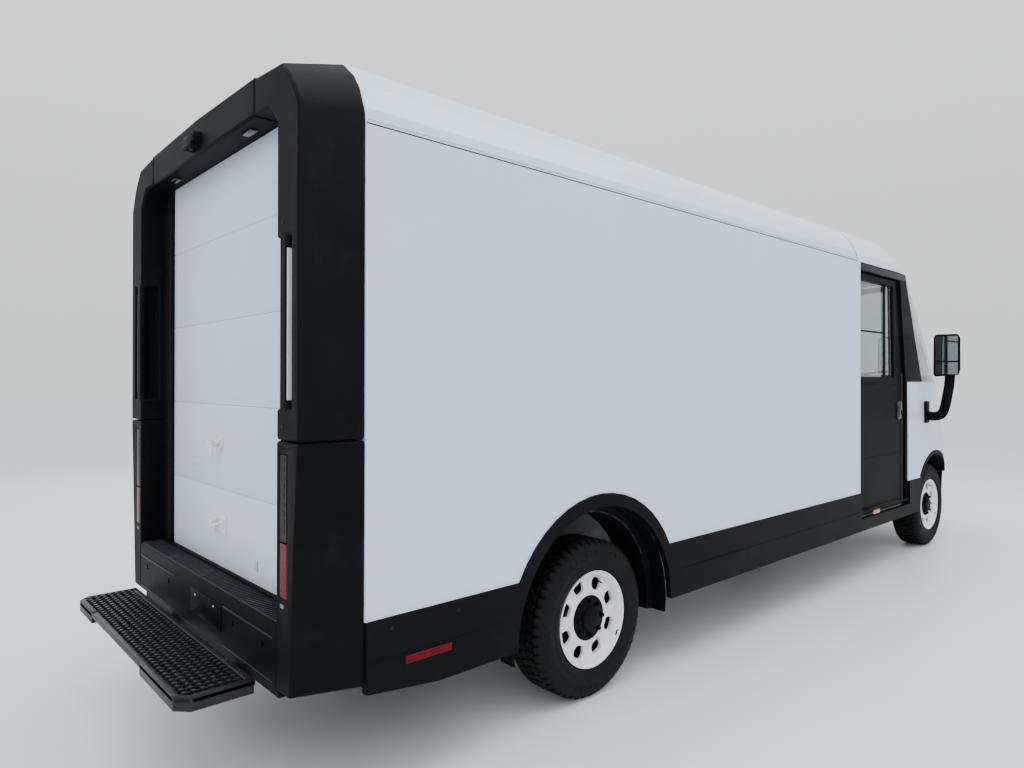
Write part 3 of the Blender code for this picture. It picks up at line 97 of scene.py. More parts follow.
def surface(name, slot, colour, shade, roughness, scale, share=0.5, detail=4.0, bump=None, wear_and_sheen=None,
            **sockets):
    """A material whose colour drifts between two shades, with a bump of its own grain.
    slot is the record's slot that pieces of it usually take. scale is per metre. bump is (pattern
    node, its settings, height in metres, strength). The argument after bump, (colour, scale, from,
    to), lays patches of a second colour: worn spots and settled dirt on most materials, and a painted
    sheen on the grained black plastic."""
    usual_slots[name] = slot
    material = bpy.data.materials.new(name)
    material.use_nodes = True
    tree = material.node_tree
    shader = tree.nodes["Principled BSDF"]
    place = add(tree, "ShaderNodeTexCoord").outputs["Object"]
    drift = add(tree, "ShaderNodeTexNoise", {"Vector": place, "Scale": scale, "Detail": detail})
    spread = add(tree, "ShaderNodeMapRange", {
        "Value": drift.outputs["Fac"], "From Min": 0.5 - 0.25 * share, "From Max": 0.5 + 0.25 * share})
    mix = add(tree, "ShaderNodeMix", {
        0: spread.outputs["Result"], 6: linear(colour), 7: linear(shade)}, data_type="RGBA")
    top = mix.outputs[2]
    # patches of a second colour: worn spots and settled dirt on most materials, a painted sheen on the grained black
    # plastic
    if wear_and_sheen:
        wear_and_sheen_colour, wear_and_sheen_scale, low, high = wear_and_sheen
        patch = add(tree, "ShaderNodeTexNoise", {
            "Vector": place, "Scale": wear_and_sheen_scale, "Detail": 9.0, "Roughness": 0.65})
        level = add(tree, "ShaderNodeMapRange", {
            "Value": patch.outputs["Fac"], "From Min": low, "From Max": high})
        dust_and_sheen = add(tree, "ShaderNodeMix", {
            0: level.outputs["Result"], 6: top, 7: linear(wear_and_sheen_colour)}, data_type="RGBA")
        top = dust_and_sheen.outputs[2]
    tree.links.new(top, shader.inputs["Base Color"])
    gloss = add(tree, "ShaderNodeMapRange", {
        "Value": drift.outputs["Fac"], "To Min": roughness[0], "To Max": roughness[1]})
    tree.links.new(gloss.outputs["Result"], shader.inputs["Roughness"])
    if bump:
        kind, settings, height, strength = bump
        output = "Distance" if kind == "ShaderNodeTexVoronoi" else "Fac"
        pattern = add(tree, kind, {"Vector": place, **settings})
        raised = add(tree, "ShaderNodeBump", {
            "Height": pattern.outputs[output], "Distance": height, "Strength": strength})
        tree.links.new(raised.outputs["Normal"], shader.inputs["Normal"])
    for socket, value in sockets.items():
        shader.inputs[socket.replace("_", " ")].default_value = value
    return material


# ---------------------------------------------------------------- materials
# Two-coat automotive polyester on aluminium sheet, sprayed: a cool white with a faint orange peel
# about 6 mm across and a clear top coat that mirrors softly.
white_paint = surface(
    "sprayed_white_body_paint", "white_paint", "#c9dff4", "#c1d8ee", (0.30, 0.40), 1.3, 0.9,
    bump=("ShaderNodeTexNoise", {"Scale": 160.0, "Detail": 2.0}, 0.0004, 0.22),
    Coat_Weight=0.35, Coat_Roughness=0.08, IOR=1.5)
# The same paint on the roll-up door's slats, which are rolled sheet and a little flatter.
door_paint = surface(
    "rolled_white_door_slat", "white_paint", "#c9dbeb", "#c1d4e5", (0.42, 0.52), 3.0, 0.8,
    bump=("ShaderNodeTexNoise", {"Scale": 120.0, "Detail": 2.0}, 0.0004, 0.18),
    Coat_Weight=0.12, Coat_Roughness=0.2)
# Polypropylene moulding with a stipple grain about 2 mm wide, drawn coarser than the real one so
# that it shows: near black, with a bluish haze painted into its colour as lighter patches, a painted sheen.
black_plastic = surface(
    "grained_black_polypropylene", "black_plastic", "#090a0c", "#0f1114", (0.42, 0.58), 2.6, 1.2,
    bump=("ShaderNodeTexVoronoi", {"Scale": 420.0}, 0.0007, 0.35),
    # the lighter bluish patches given here are a painted sheen
    wear_and_sheen=("#191c20", 5.0, 0.56, 0.90), Specular_IOR_Level=0.05)
# Polyurethane over sheet steel, sprayed satin black: smooth, with a soft reflection of the sky.
satin_black = surface(
    "satin_black_door_paint", "black_plastic", "#0b0c0f", "#111317", (0.30, 0.42), 2.2, 1.0,
    bump=("ShaderNodeTexNoise", {"Scale": 180.0, "Detail": 2.0}, 0.0004, 0.2),
    Specular_IOR_Level=0.02)
# Acrylic lamp and pillar covers, polished in the mould: deep black with a sharp reflection.
piano_black = surface(
    "polished_black_acrylic", "black_plastic", "#0c0d10", "#121418", (0.06, 0.14), 4.0, 1.0, Coat_Weight=0.15,
    Coat_Roughness=0.03, IOR=1.49, Specular_IOR_Level=0.3)
# Hard-wearing tread board of filled polypropylene: blue-grey where feet polish it.
tread_plastic = surface(
    "worn_tread_polypropylene", "black_plastic", "#181b20", "#23272d", (0.42, 0.62), 7.0, 1.2,
    bump=("ShaderNodeTexVoronoi", {"Scale": 260.0}, 0.0009, 0.4),
    wear_and_sheen=("#454d58", 14.0, 0.52, 0.82), Specular_IOR_Level=0.25)
# Galvanised and black-painted steel step: satin coat, bare and greyer along the worn teeth.
step_steel = surface(
    "black_coated_step_steel", "black_plastic", "#16181c", "#202327", (0.38, 0.55), 9.0, 1.0,
    bump=("ShaderNodeTexNoise", {"Scale": 300.0, "Detail": 4.0}, 0.0005, 0.35),
    wear_and_sheen=("#5b626b", 22.0, 0.60, 0.84), Metallic=0.15, Specular_IOR_Level=0.3)
# Dip-coated frame steel: uneven satin black with road dust settled on it.
chassis_steel = surface(
    "dip_coated_frame_steel", "chassis_steel", "#0f1011", "#17181a", (0.45, 0.65), 6.0, 1.2,
    bump=("ShaderNodeTexNoise", {"Scale": 90.0, "Detail": 6.0}, 0.0012, 0.4),
    wear_and_sheen=("#3a3733", 3.5, 0.58, 0.98), Specular_IOR_Level=0.2)
# Cast aluminium of the drive unit and battery tray, shot-blasted: dull light grey.
cast_aluminium = surface(
    "blasted_cast_aluminium", "chassis_steel", "#7c8084", "#8e9296", (0.42, 0.58), 8.0, 1.0,
    bump=("ShaderNodeTexNoise", {"Scale": 500.0, "Detail": 3.0}, 0.0008, 0.4), Metallic=0.85)
# Plain rubber of seals and wiper blades: dull black that takes no reflection.
seal_rubber = surface(
    "extruded_seal_rubber", "black_plastic", "#111214", "#191a1c", (0.62, 0.78), 12.0, 1.0,
    bump=("ShaderNodeTexNoise", {"Scale": 260.0, "Detail": 3.0}, 0.0004, 0.3), Specular_IOR_Level=0.2)
# Vulcanised tyre rubber: dull charcoal, dusty between the blocks.
tyre_rubber = surface(
    "vulcanised_tyre_rubber", "tyre_rubber", "#0f1011", "#161718", (0.62, 0.80), 9.0, 1.2,
    bump=("ShaderNodeTexNoise", {"Scale": 380.0, "Detail": 4.0}, 0.0008, 0.4),
    wear_and_sheen=("#2b2926", 11.0, 0.56, 0.95), Specular_IOR_Level=0.12)
# Stove-enamelled steel wheel: soft white enamel, with grey brake dust in patches.
wheel_enamel = surface(
    "stove_enamelled_wheel_steel", "white_paint", "#e3e6e9", "#d3d8dc", (0.30, 0.42), 14.0, 1.0,
    bump=("ShaderNodeTexNoise", {"Scale": 220.0, "Detail": 2.0}, 0.0004, 0.2),
    wear_and_sheen=("#9a9c9e", 16.0, 0.62, 0.95), Coat_Weight=0.3, Coat_Roughness=0.15)
# Zinc-plated steel of nuts, rivets and hinges: bright grey metal, slightly clouded.
zinc_steel = surface(
    "zinc_plated_steel", None, "#b4b8bc", "#c9ccd0", (0.28, 0.42), 60.0, 1.0,
    bump=("ShaderNodeTexNoise", {"Scale": 700.0, "Detail": 2.0}, 0.0002, 0.3), Metallic=1.0)
# Non-slip epoxy floor with fine grit: mid grey and rough, scuffed lighter by boots.
floor_coating = surface(
    "gritted_grey_floor_epoxy", "floor_coating", "#4a4d51", "#5a5e62", (0.62, 0.80), 5.0, 1.0,
    bump=("ShaderNodeTexVoronoi", {"Scale": 330.0}, 0.0012, 0.5),
    wear_and_sheen=("#7b7e80", 4.0, 0.55, 0.90))
# Moulded ABS of the cab: dark grey leather-like grain about 3 mm wide.
cab_trim = surface(
    "grained_cab_trim_abs", "cab_trim", "#34373b", "#3d4045", (0.50, 0.66), 4.0, 1.0,
    bump=("ShaderNodeTexVoronoi", {"Scale": 340.0}, 0.0008, 0.4))
# Mirror glass: silvered, so it is metal to the eye and nearly perfectly smooth.
mirror_glass = surface(
    "silvered_mirror_glass", None, "#c9d0d4", "#bfc7cc", (0.02, 0.05), 3.0, 1.0, Metallic=1.0)
# Headlamp reflectors: vacuum-metallised plastic behind a clear lens.
reflector = surface(
    "metallised_lamp_reflector", "lamp_clear", "#d9dde0", "#c6cbd0", (0.08, 0.16), 20.0, 1.0, Metallic=1.0)
# Dead instrument screen: dark glass-faced panel with a faint blue cast.
screen_glass = surface(
    "dark_screen_glass", "lamp_clear", "#10161d", "#161f29", (0.05, 0.10), 5.0, 1.0, Coat_Weight=0.5)
# Amber acrylic side lamps and repeaters.
amber_lens = surface(
    "amber_acrylic_lens", "lamp_red", "#c8620c", "#b04f06", (0.08, 0.16), 40.0, 1.0,
    bump=("ShaderNodeTexVoronoi", {"Scale": 160.0}, 0.001, 0.4), Coat_Weight=0.5)
# Red acrylic of the brake and position lamps, with moulded optics about 6 mm wide.
red_lens = surface(
    "red_acrylic_lens", "lamp_red", "#640e12", "#4a0a0e", (0.10, 0.20), 30.0, 1.0,
    bump=("ShaderNodeTexVoronoi", {"Scale": 170.0}, 0.0012, 0.5), Specular_IOR_Level=0.10)
# The darker, smoked part of the same lens.
smoked_lens = surface(
    "smoked_red_acrylic_lens", "lamp_red", "#1a0709", "#100506", (0.08, 0.16), 30.0, 1.0,
    bump=("ShaderNodeTexVoronoi", {"Scale": 170.0}, 0.001, 0.4), Specular_IOR_Level=0.08)


def clear_material(name, slot, colour, shade, roughness, ior, weight):
    """A see-through material whose tint and polish vary a little."""
    return surface(name, slot, colour, shade, roughness, 2.0, 1.0, IOR=ior, Transmission_Weight=weight)


# Laminated and tempered glass, green-grey from its iron: sharp reflections, light tint.
cab_glass = clear_material("tinted_cab_glass", "cab_glass", "#c9d6d2", "#bfcfca", (0.0, 0.02), 1.45, 0.96)
# Clear polycarbonate of the headlamps.
lamp_lens = clear_material("clear_polycarbonate_lens", "lamp_clear", "#eef2f4", "#e6ecef", (0.0, 0.03),
                           1.58, 0.95)


def cloth_material():
    """Woven polyester seat cloth. Threads are 3 mm apart, coarser than real ones so that they show;
    they cross over and under and have a soft sheen, and the colour is lighter on their raised backs:
    a painted highlight, varied by a noise."""
    material = bpy.data.materials.new("woven_polyester_seat_cloth")
    usual_slots[material.name] = "seat_fabric"
    material.use_nodes = True
    tree = material.node_tree
    shader = tree.nodes["Principled BSDF"]
    place = add(tree, "ShaderNodeTexCoord").outputs["Object"]
    apart = 333.0
    warp = add(tree, "ShaderNodeTexWave", {"Vector": place, "Scale": apart / 6.28, "Distortion": 0.6},
               bands_direction="Y")
    weft = add(tree, "ShaderNodeTexWave", {"Vector": place, "Scale": apart / 6.28, "Distortion": 0.6},
               bands_direction="DIAGONAL")
    over = add(tree, "ShaderNodeMath", {0: warp.outputs["Fac"], 1: weft.outputs["Fac"]}, operation="MULTIPLY")
    drift = add(tree, "ShaderNodeTexNoise", {"Vector": place, "Scale": 30.0, "Detail": 5.0})
    # painted highlight: the colour is lighter where the threads rise, scaled by the noise
    tone = add(tree, "ShaderNodeMath", {0: over.outputs[0], 1: drift.outputs["Fac"]}, operation="MULTIPLY")
    mix = add(tree, "ShaderNodeMix", {0: tone.outputs[0], 6: linear("#24272b"), 7: linear("#565b62")},
              data_type="RGBA")
    tree.links.new(mix.outputs[2], shader.inputs["Base Color"])
    raised = add(tree, "ShaderNodeBump", {"Height": over.outputs[0], "Distance": 0.0012, "Strength": 0.6})
    tree.links.new(raised.outputs["Normal"], shader.inputs["Normal"])
    shader.inputs["Roughness"].default_value = 0.85
    shader.inputs["Sheen Weight"].default_value = 0.4
    shader.inputs["Sheen Roughness"].default_value = 0.5
    return material


seat_cloth = cloth_material()


# ---------------------------------------------------------------- helpers for shapes
def soften(bm, width, over, segments=2, clamp=False):
    """Rounds the edges that turn by more than an angle in radians."""
    sharp = [e for e in bm.edges if e.calc_face_angle(0) > over]
    bmesh.ops.bevel(bm, geom=sharp, offset=width, affect="EDGES", segments=segments, profile=0.5,
                    material=-1, clamp_overlap=clamp)


def close_holes(bm):
    """Fills every open loop of edges with a face."""
    bmesh.ops.holes_fill(bm, edges=[e for e in bm.edges if e.is_boundary], sides=0)


def rounded(low, high, width=0.0, segments=2):
    """A box with rounded edges, as a bmesh."""
    bm = bmesh.new()
    made = bmesh.ops.create_cube(bm, size=1.0)["verts"]
    low, high = Vector(low), Vector(high)
    bmesh.ops.scale(bm, vec=high - low, verts=made)
    bmesh.ops.translate(bm, vec=(low + high) / 2, verts=made)
    if width:
        soften(bm, width, 0.0, segments, True)
    return bm


def disc(radius, depth, steps=24, tip=None, width=0.0):
    """A round piece along Z with its foot at the origin, as a bmesh. tip is its upper radius."""
    bm = bmesh.new()
    bmesh.ops.create_cone(bm, cap_ends=True, segments=steps, radius1=radius,
                          radius2=radius if tip is None else tip, depth=depth)
    bmesh.ops.translate(bm, vec=(0, 0, depth / 2), verts=bm.verts)
    if width:
        soften(bm, width, 1.0)
    return bm


def turn(profile, axis="Y", steps=64, angle=2 * math.pi):
    """A profile of (radius, along) points turned about an axis through the origin, as a bmesh."""
    bm = bmesh.new()
    points = [bm.verts.new((radius, along, 0)) for radius, along in profile]
    for near, far in zip(points, points[1:] + points[:1]):
        bm.edges.new((near, far))
    bmesh.ops.spin(bm, geom=bm.verts[:] + bm.edges[:], cent=(0, 0, 0), axis=(0, 1, 0), dvec=(0, 0, 0),
                   angle=angle, steps=steps, use_merge=angle > 6.28, use_duplicate=False)
    bmesh.ops.remove_doubles(bm, verts=bm.verts, dist=0.00005)
    if axis == "Z":
        bmesh.ops.rotate(bm, matrix=Matrix.Rotation(math.radians(90), 3, "X"), verts=bm.verts)
    if axis == "X":
        bmesh.ops.rotate(bm, matrix=Matrix.Rotation(math.radians(-90), 3, "Z"), verts=bm.verts)
    return bm


def prism(outline, low, high, axis="y", width=0.0, segments=2):
    """An outline pushed along an axis, as a bmesh. The outline is in the other two axes, in order."""
    bm = bmesh.new()
    order = {"x": (2, 0, 1), "y": (0, 2, 1), "z": (0, 1, 2)}[axis]
    points = []
    for first, second in outline:
        parts = (first, second, low)
        points.append(bm.verts.new([parts[i] for i in order]))
    face = bm.faces.new(points)
    pushed = bmesh.ops.extrude_face_region(bm, geom=[face])
    moved = [v for v in pushed["geom"] if isinstance(v, bmesh.types.BMVert)]
    step = Vector({"x": (1, 0, 0), "y": (0, 1, 0), "z": (0, 0, 1)}[axis]) * (high - low)
    bmesh.ops.translate(bm, vec=step, verts=moved)
    bmesh.ops.recalc_face_normals(bm, faces=bm.faces)
    if width:
        soften(bm, width, 0.6, segments, True)
    return bm


def tube(points, radius, steps=12):
    """A round bar along points, as a bmesh."""
    curve = bpy.data.curves.new("bar", "CURVE")
    curve.dimensions = "3D"
    curve.bevel_depth = radius
    curve.bevel_resolution = steps // 4
    curve.use_fill_caps = True
    curve.resolution_u = 8
    line = curve.splines.new("NURBS")
    line.points.add(len(points) - 1)
    for spot, point in zip(line.points, points):
        spot.co = (*point, 1.0)
    line.order_u = 3
    line.use_endpoint_u = True
    item = bpy.data.objects.new("bar", curve)
    bpy.context.scene.collection.objects.link(item)
    bpy.context.view_layer.update()
    mesh = bpy.data.meshes.new_from_object(item.evaluated_get(bpy.context.evaluated_depsgraph_get()))
    bm = bmesh.new()
    bm.from_mesh(mesh)
    bmesh.ops.remove_doubles(bm, verts=bm.verts, dist=0.00002)
    bpy.data.objects.remove(item)
    bpy.data.curves.remove(curve)
    bpy.data.meshes.remove(mesh)
    return bm


def gather(parts):
    """Joins parts into one bmesh. A part is a bmesh, or a bmesh with one matrix or a list of them."""
    whole = bmesh.new()
    for part in parts:
        part, matrices = part if isinstance(part, tuple) else (part, Matrix.Identity(4))
        mesh = bpy.data.meshes.new("part")
        part.to_mesh(mesh)
        part.free()
        for matrix in matrices if isinstance(matrices, list) else [matrices]:
            copy = mesh.copy()
            copy.transform(matrix)
            whole.from_mesh(copy)
            bpy.data.meshes.remove(copy)
        bpy.data.meshes.remove(mesh)
    return whole


def move(x=0.0, y=0.0, z=0.0):
    return Matrix.Translation((x, y, z))


def spun(angle, axis="Y"):
    return Matrix.Rotation(angle, 4, axis)


def ring(count, start=0.0):
    """Turns about Y that share out a number of copies evenly."""
    return [spun(2 * math.pi * (i + start) / count) for i in range(count)]


QUARTER = math.radians(90)
facing = spun(-QUARTER)             # turns a disc to stand on a face that looks rearwards


def piece(name, bm, material, body="van", slot=USUAL, stands_for=(), angle=35, finish=None):
    """Makes a bmesh, or a list of parts, a piece of the van: its normals point outwards and its
    sharp edges are kept. A slot is looked up from its material when it has none of its own, but
    nothing is done with it."""
    bm = gather(bm) if isinstance(bm, list) else bm
    bmesh.ops.recalc_face_normals(bm, faces=bm.faces)
    mesh = bpy.data.meshes.new(name)
    bm.to_mesh(mesh)
    bm.free()
    mesh.materials.append(material)
    mesh.polygons.foreach_set("use_smooth", [True] * len(mesh.polygons))
    mesh.set_sharp_from_angle(angle=math.radians(angle))
    item = bpy.data.objects.new(name, mesh)
    bpy.context.scene.collection.objects.link(item)
    if finish:
        bevel = item.modifiers.new("rounded edges", "BEVEL")
        bevel.width = finish
        bevel.segments = 2
        bevel.limit_method = "ANGLE"
        bevel.angle_limit = math.radians(angle)
        bevel.use_clamp_overlap = True
    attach(item, body)
    slot = usual_slots[material.name] if slot is USUAL else slot
    if stands_for:
        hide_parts(*stands_for)
    return item


def copy_of(node):
    """A merged copy of a node's mesh, as a bmesh."""
    bm = bmesh.new()
    bm.from_mesh(nodes[node].data)
    bmesh.ops.remove_doubles(bm, verts=bm.verts, dist=0.00005)
    bmesh.ops.recalc_face_normals(bm, faces=bm.faces)
    bmesh.ops.dissolve_limit(bm, angle_limit=math.radians(0.5), verts=bm.verts, edges=bm.edges,
                             use_dissolve_boundaries=False)
    return bm


def dress(node, material, body="van", slot=USUAL, angle=30, finish=None):
    """Shows a node as a merged copy with smooth rounds and soft edges."""
    return piece(f"{node}_finished", copy_of(node), material, body, slot, (node,), angle, finish)


def at_level(levels, z):
    """Inset, shoulder and nose of a nose form at a height."""
    for low, high in zip(levels, levels[1:]):
        if z <= high[0] or high is levels[-1]:
            share = min(max((z - low[0]) / (high[0] - low[0]), 0.0), 1.0)
            return [a + (b - a) * share for a, b in zip(low[1:], high[1:])]


def on_nose(levels, y, z, out=0.0):
    """The point of a nose form at y and z, pushed outwards."""
    inset, shoulder, nose = at_level(levels, z)
    half = BODY_HALF - inset
    side = min(abs(y) / half, 0.9999)
    share = (1 - side ** NOSE_POWER) ** (1 / NOSE_POWER)
    depth = nose - shoulder
    spot = Vector((FRONT_AXLE_X + shoulder + share * depth, y, z))
    slope_x = share ** (NOSE_POWER - 1) / depth
    slope_y = side ** (NOSE_POWER - 1) / half
    outwards = Vector((slope_x, math.copysign(slope_y, y), 0)).normalized()
    return spot + outwards * out


def patch(levels, low, high, out, thick, across=24, up=4, width=0.0):
    """A plate that follows the nose from (y, z) to (y, z), as a bmesh."""
    bm = bmesh.new()
    bmesh.ops.create_grid(bm, x_segments=across, y_segments=up, size=0.5)
    for v in bm.verts:
        y = low[0] + (v.co.x + 0.5) * (high[0] - low[0])
        z = low[1] + (v.co.y + 0.5) * (high[1] - low[1])
        v.co = on_nose(levels, y, z, out)
    bmesh.ops.recalc_face_normals(bm, faces=bm.faces)
    face = max(bm.faces, key=lambda f: f.calc_center_median().x)
    if face.normal.x < 0:
        bmesh.ops.reverse_faces(bm, faces=bm.faces)
    pushed = bmesh.ops.extrude_face_region(bm, geom=bm.faces[:])
    moved = [v for v in pushed["geom"] if isinstance(v, bmesh.types.BMVert)]
    middle = Vector((FRONT_AXLE_X, 0, 0))
    for v in moved:
        inwards = Vector((middle.x - v.co.x, -v.co.y, 0)).normalized()
        v.co += inwards * thick
    bmesh.ops.recalc_face_normals(bm, faces=bm.faces)
    if width:
        soften(bm, width, 1.0)
    return bm


# ---------------------------------------------------------------- load box
for side_name, side in SIDES:
    dress(f"side_wall_{side_name}", white_paint, angle=25)
    # sealant in the joint between wall and roof, and the drip rail over it
    seam = rounded((BOX_REAR_X + 0.004, side * (BODY_HALF - 0.002), 2.393),
                   (1.020, side * (BODY_HALF + 0.0012), 2.3975), 0.0005, 1)
    piece(f"roof_joint_sealant_{side_name}", seam, seal_rubber)
    trough = [(-0.004, 2.408), (0.002, 2.409), (0.002, 2.4135), (-0.004, 2.4135)]
    drip = prism([(side * (BODY_HALF + y), z) for y, z in trough], BOX_REAR_X + 0.010, 1.0, "x", 0.001, 1)
    piece(f"drip_rail_{side_name}", drip, white_paint)
dress("cargo_roof", white_paint, angle=12, finish=0.014)
dress("cab_roof", white_paint, angle=22, finish=0.010)
band = copy_of("cargo_roof")
bmesh.ops.bisect_plane(band, geom=band.verts[:] + band.edges[:] + band.faces[:], dist=0.00001,
                       plane_co=(1.0195, 0, 0), plane_no=(1, 0, 0), clear_inner=True)
close_holes(band)
bmesh.ops.scale(band, vec=(1, 1.0012, 1.0), space=move(z=-ROOF_JOINT_Z), verts=band.verts)
piece("cab_roof_joint_sealant", band, seal_rubber)
seams = [rounded((x - 0.004, -0.345, 2.690), (x + 0.004, 0.345, 2.6945), 0.001, 1)
         for x in (-2.30, -1.46, -0.62, 0.22)]
seams += [rounded((-3.10, y - 0.012, 2.6895), (0.97, y + 0.012, 2.6948), 0.002, 2) for y in (-0.26, 0.26)]
piece("roof_seams_and_beads", seams, white_paint)
dress("cargo_floor", floor_coating)

# ---------------------------------------------------------------- rear surround
for side_name, side in SIDES:
    dress(f"rear_pillar_{side_name}", black_plastic, angle=48, finish=0.010)
    dress(f"rear_lower_pillar_{side_name}", black_plastic, angle=48, finish=0.008)
dress("rear_header", black_plastic, angle=48, finish=0.010)

# camera pod in the middle of the header, its glass eye, and the two lamps over the doorway
pod = [rounded((REAR_X - 0.030, -0.060, 2.508), (REAR_X + 0.050, 0.090, 2.556), 0.012, 3),
       rounded((REAR_X - 0.036, -0.040, 2.494), (REAR_X + 0.020, 0.070, 2.514), 0.006, 3)]
piece("header_camera_pod", pod, black_plastic)
eye_at = move(REAR_X - 0.012, 0.015, 2.496) @ spun(math.pi, "X")
piece("header_camera_eye", [(disc(0.011, 0.008, 24, 0.009, 0.001), eye_at)], piano_black, slot=None)
for side_name, side in reversed(SIDES):
    y = side * 0.447
    lamp = rounded((REAR_X + 0.040, y - 0.045, 2.456), (REAR_X + 0.070, y + 0.045, 2.4665), 0.004, 2)
    piece(f"doorway_lamp_{side_name}", lamp, screen_glass)
# joint lines where the header meets the pillars
for side_name, side in SIDES:
    line = rounded((REAR_X - 0.0006, side * 0.618, 2.468), (REAR_X + 0.004, side * 0.6205, 2.604))
    piece(f"header_joint_{side_name}", line, seal_rubber)

# ---------------------------------------------------------------- roll-up door
DOOR_SPLITS = (0.670, 1.020, 1.390, 1.760, 2.130, 2.463)
slats = [rounded((SLATS_X, -0.8145, low_z + 0.0006), (-3.243, 0.8145, high_z - 0.0006), 0.0016, 2)
         for low_z, high_z in zip(DOOR_SPLITS, DOOR_SPLITS[1:])]
piece("roll_up_door_slats", slats, door_paint, stands_for=("rear_door",))
rivets = [move(-3.2785, y, z + step)
          for z in DOOR_SPLITS[1:-1] for y in (-0.600, -0.215, -0.165, 0.310, 0.360, 0.600)
          for spacing in (0.030, 0.062, 0.094, 0.126) for step in (spacing, -spacing)]
rivet = disc(0.0052, 0.0022, 10, 0.0030)
bmesh.ops.rotate(rivet, matrix=Matrix.Rotation(math.radians(-90), 3, "Y"), verts=rivet.verts)
piece("roll_up_door_rivets", [(rivet, rivets)], wheel_enamel, angle=60)
hinges = []
for z in DOOR_SPLITS[1:-1]:
    for y in (-0.55, 0.0, 0.55):
        hinges.append(rounded((-3.2435, y - 0.035, z - 0.040), (-3.2395, y + 0.035, z + 0.040), 0.001, 1))
        hinges.append((disc(0.006, 0.060, 14), move(-3.239, y, z) @ spun(QUARTER, "X") @ move(z=-0.030)))
piece("roll_up_door_hinges", hinges, zinc_steel)
piece("roll_up_door_foot_seal", rounded((-3.283, -0.812, 0.661), (-3.243, 0.812, 0.680), 0.004, 2), seal_rubber)
for side_name, side in SIDES:
    strip = [rounded((-3.290, side * 0.6500, 0.675), (-3.2785, side * 0.8142, 2.462), 0.003, 2),
             rounded((-3.296, side * 0.6400, 0.675), (-3.2790, side * 0.6520, 2.462), 0.004, 2)]
    piece(f"roll_up_door_guide_cover_{side_name}", strip, black_plastic)
trim_strip = rounded((-3.2835, -0.636, 0.70), (-3.2785, -0.624, 2.42), 0.0015, 1)
piece("roll_up_door_edge_strip", trim_strip, wheel_enamel)
# turning handle on its escutcheon, with the bar hanging to the latched side
lock_y, lock_z = 0.010, 1.225
lock = move(SLATS_X, lock_y, lock_z)
handle = [
    (disc(0.034, 0.006, 40, 0.033, 0.0015), lock @ facing),
    (disc(0.018, 0.026, 32, 0.015, 0.002), move(SLATS_X - 0.005, lock_y, lock_z) @ facing),
    (disc(0.0070, 0.010, 20, 0.0070, 0.001), move(SLATS_X - 0.030, lock_y, lock_z) @ facing),
    (rounded((-0.045, -0.010, -0.075), (-0.033, 0.010, 0.012), 0.004, 3), lock),
    (rounded((-0.043, -0.008, -0.008), (-0.035, 0.050, 0.008), 0.003, 3), lock),
    (disc(0.0035, 0.003, 12, 0.0022), [move(SLATS_X - 0.006, lock_y + dy, lock_z + dz) @ facing
                                       for dz in (0.023, -0.023) for dy in (0.023, -0.023)]),
]
piece("roll_up_door_lock_handle", handle, wheel_enamel, slot="wheel_paint", stands_for=("rear_door_lock",))
# lower pull handle: a plate with a folded bail
pull = [rounded((-3.283, -0.010, 0.825), (SLATS_X, 0.115, 0.905), 0.0015, 2),
        tube([(-3.281, 0.010, 0.880), (-3.312, 0.012, 0.874), (-3.318, 0.022, 0.868), (-3.318, 0.052, 0.866),
              (-3.318, 0.083, 0.868), (-3.312, 0.093, 0.874), (-3.281, 0.095, 0.880)], 0.0065),
        rounded((-3.292, 0.000, 0.868), (-3.281, 0.020, 0.894), 0.003, 2),
        rounded((-3.292, 0.085, 0.868), (-3.281, 0.105, 0.894), 0.003, 2)]
piece("roll_up_door_pull_handle", [(part, move(y=-0.055)) for part in pull], wheel_enamel)
piece("roll_up_door_pull_strap", rounded((-3.2835, -0.40, 0.735), (-3.2795, -0.375, 0.775), 0.001, 1), zinc_steel)

# ---------------------------------------------------------------- tail lamps
for side_name, side in SIDES:
    whole = f"tail_lamp_{side_name}"
    for label, above, lens, replaced in (("upper", True, smoked_lens, (whole,)), ("lower", False, red_lens, ())):
        half = copy_of(whole)
        bmesh.ops.bisect_plane(half, geom=half.verts[:] + half.edges[:] + half.faces[:], dist=0.00001,
                               plane_co=(0, 0, LAMP_SPLIT_Z + (0.002 if above else -0.002)),
                               plane_no=(0, 0, 1), clear_inner=above, clear_outer=not above)
        close_holes(half)
        piece(f"tail_lens_{label}_{side_name}", half, lens, stands_for=replaced, angle=30, finish=0.003)
    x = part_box(whole)[0].x
    optics = [rounded((x - 0.0006, side * 0.856, z), (x + 0.006, side * 0.884, z + 0.022), 0.002, 1)
              for z in [0.975 + i * 0.030 for i in range(9)]]
    piece(f"tail_lamp_optics_{side_name}", optics, smoked_lens)
    mark = rounded((REAR_X - 0.001, side * 0.850, 0.722), (REAR_X + 0.006, side * 0.876, 0.736), 0.001, 1)
    piece(f"lower_pillar_clip_{side_name}", mark, cast_aluminium, slot=None)
    # pale lining down the grab bar, and the screws that hold it
    lining = rounded((REAR_X + 0.003, side * 0.8908, 1.430), (REAR_X + 0.028, side * 0.8950, 1.945),
                     0.0015, 1)
    piece(f"grab_slot_lining_{side_name}", lining, wheel_enamel)
    grips = [(disc(0.0065, 0.0022, 16, 0.0045), move(REAR_X + 0.0005, side * 0.862, z) @ facing)
             for z in (1.340, 2.035)]
    piece(f"grab_bar_screws_{side_name}", grips, chassis_steel, slot=None)

# ---------------------------------------------------------------- rear bumper and step
dress("rear_bumper", black_plastic, finish=0.006)
boards = [rounded((-3.384, -0.806, 0.6585), (-3.286, 0.806, 0.6625), 0.0015, 1)]
rib = rounded((-3.381, -0.0045, 0.660), (-3.289, 0.0045, 0.6665), 0.002, 2)
boards.append((rib, [move(y=-0.798 + 0.021 * i) for i in range(77)]))
piece("bumper_tread_board", boards, tread_plastic)
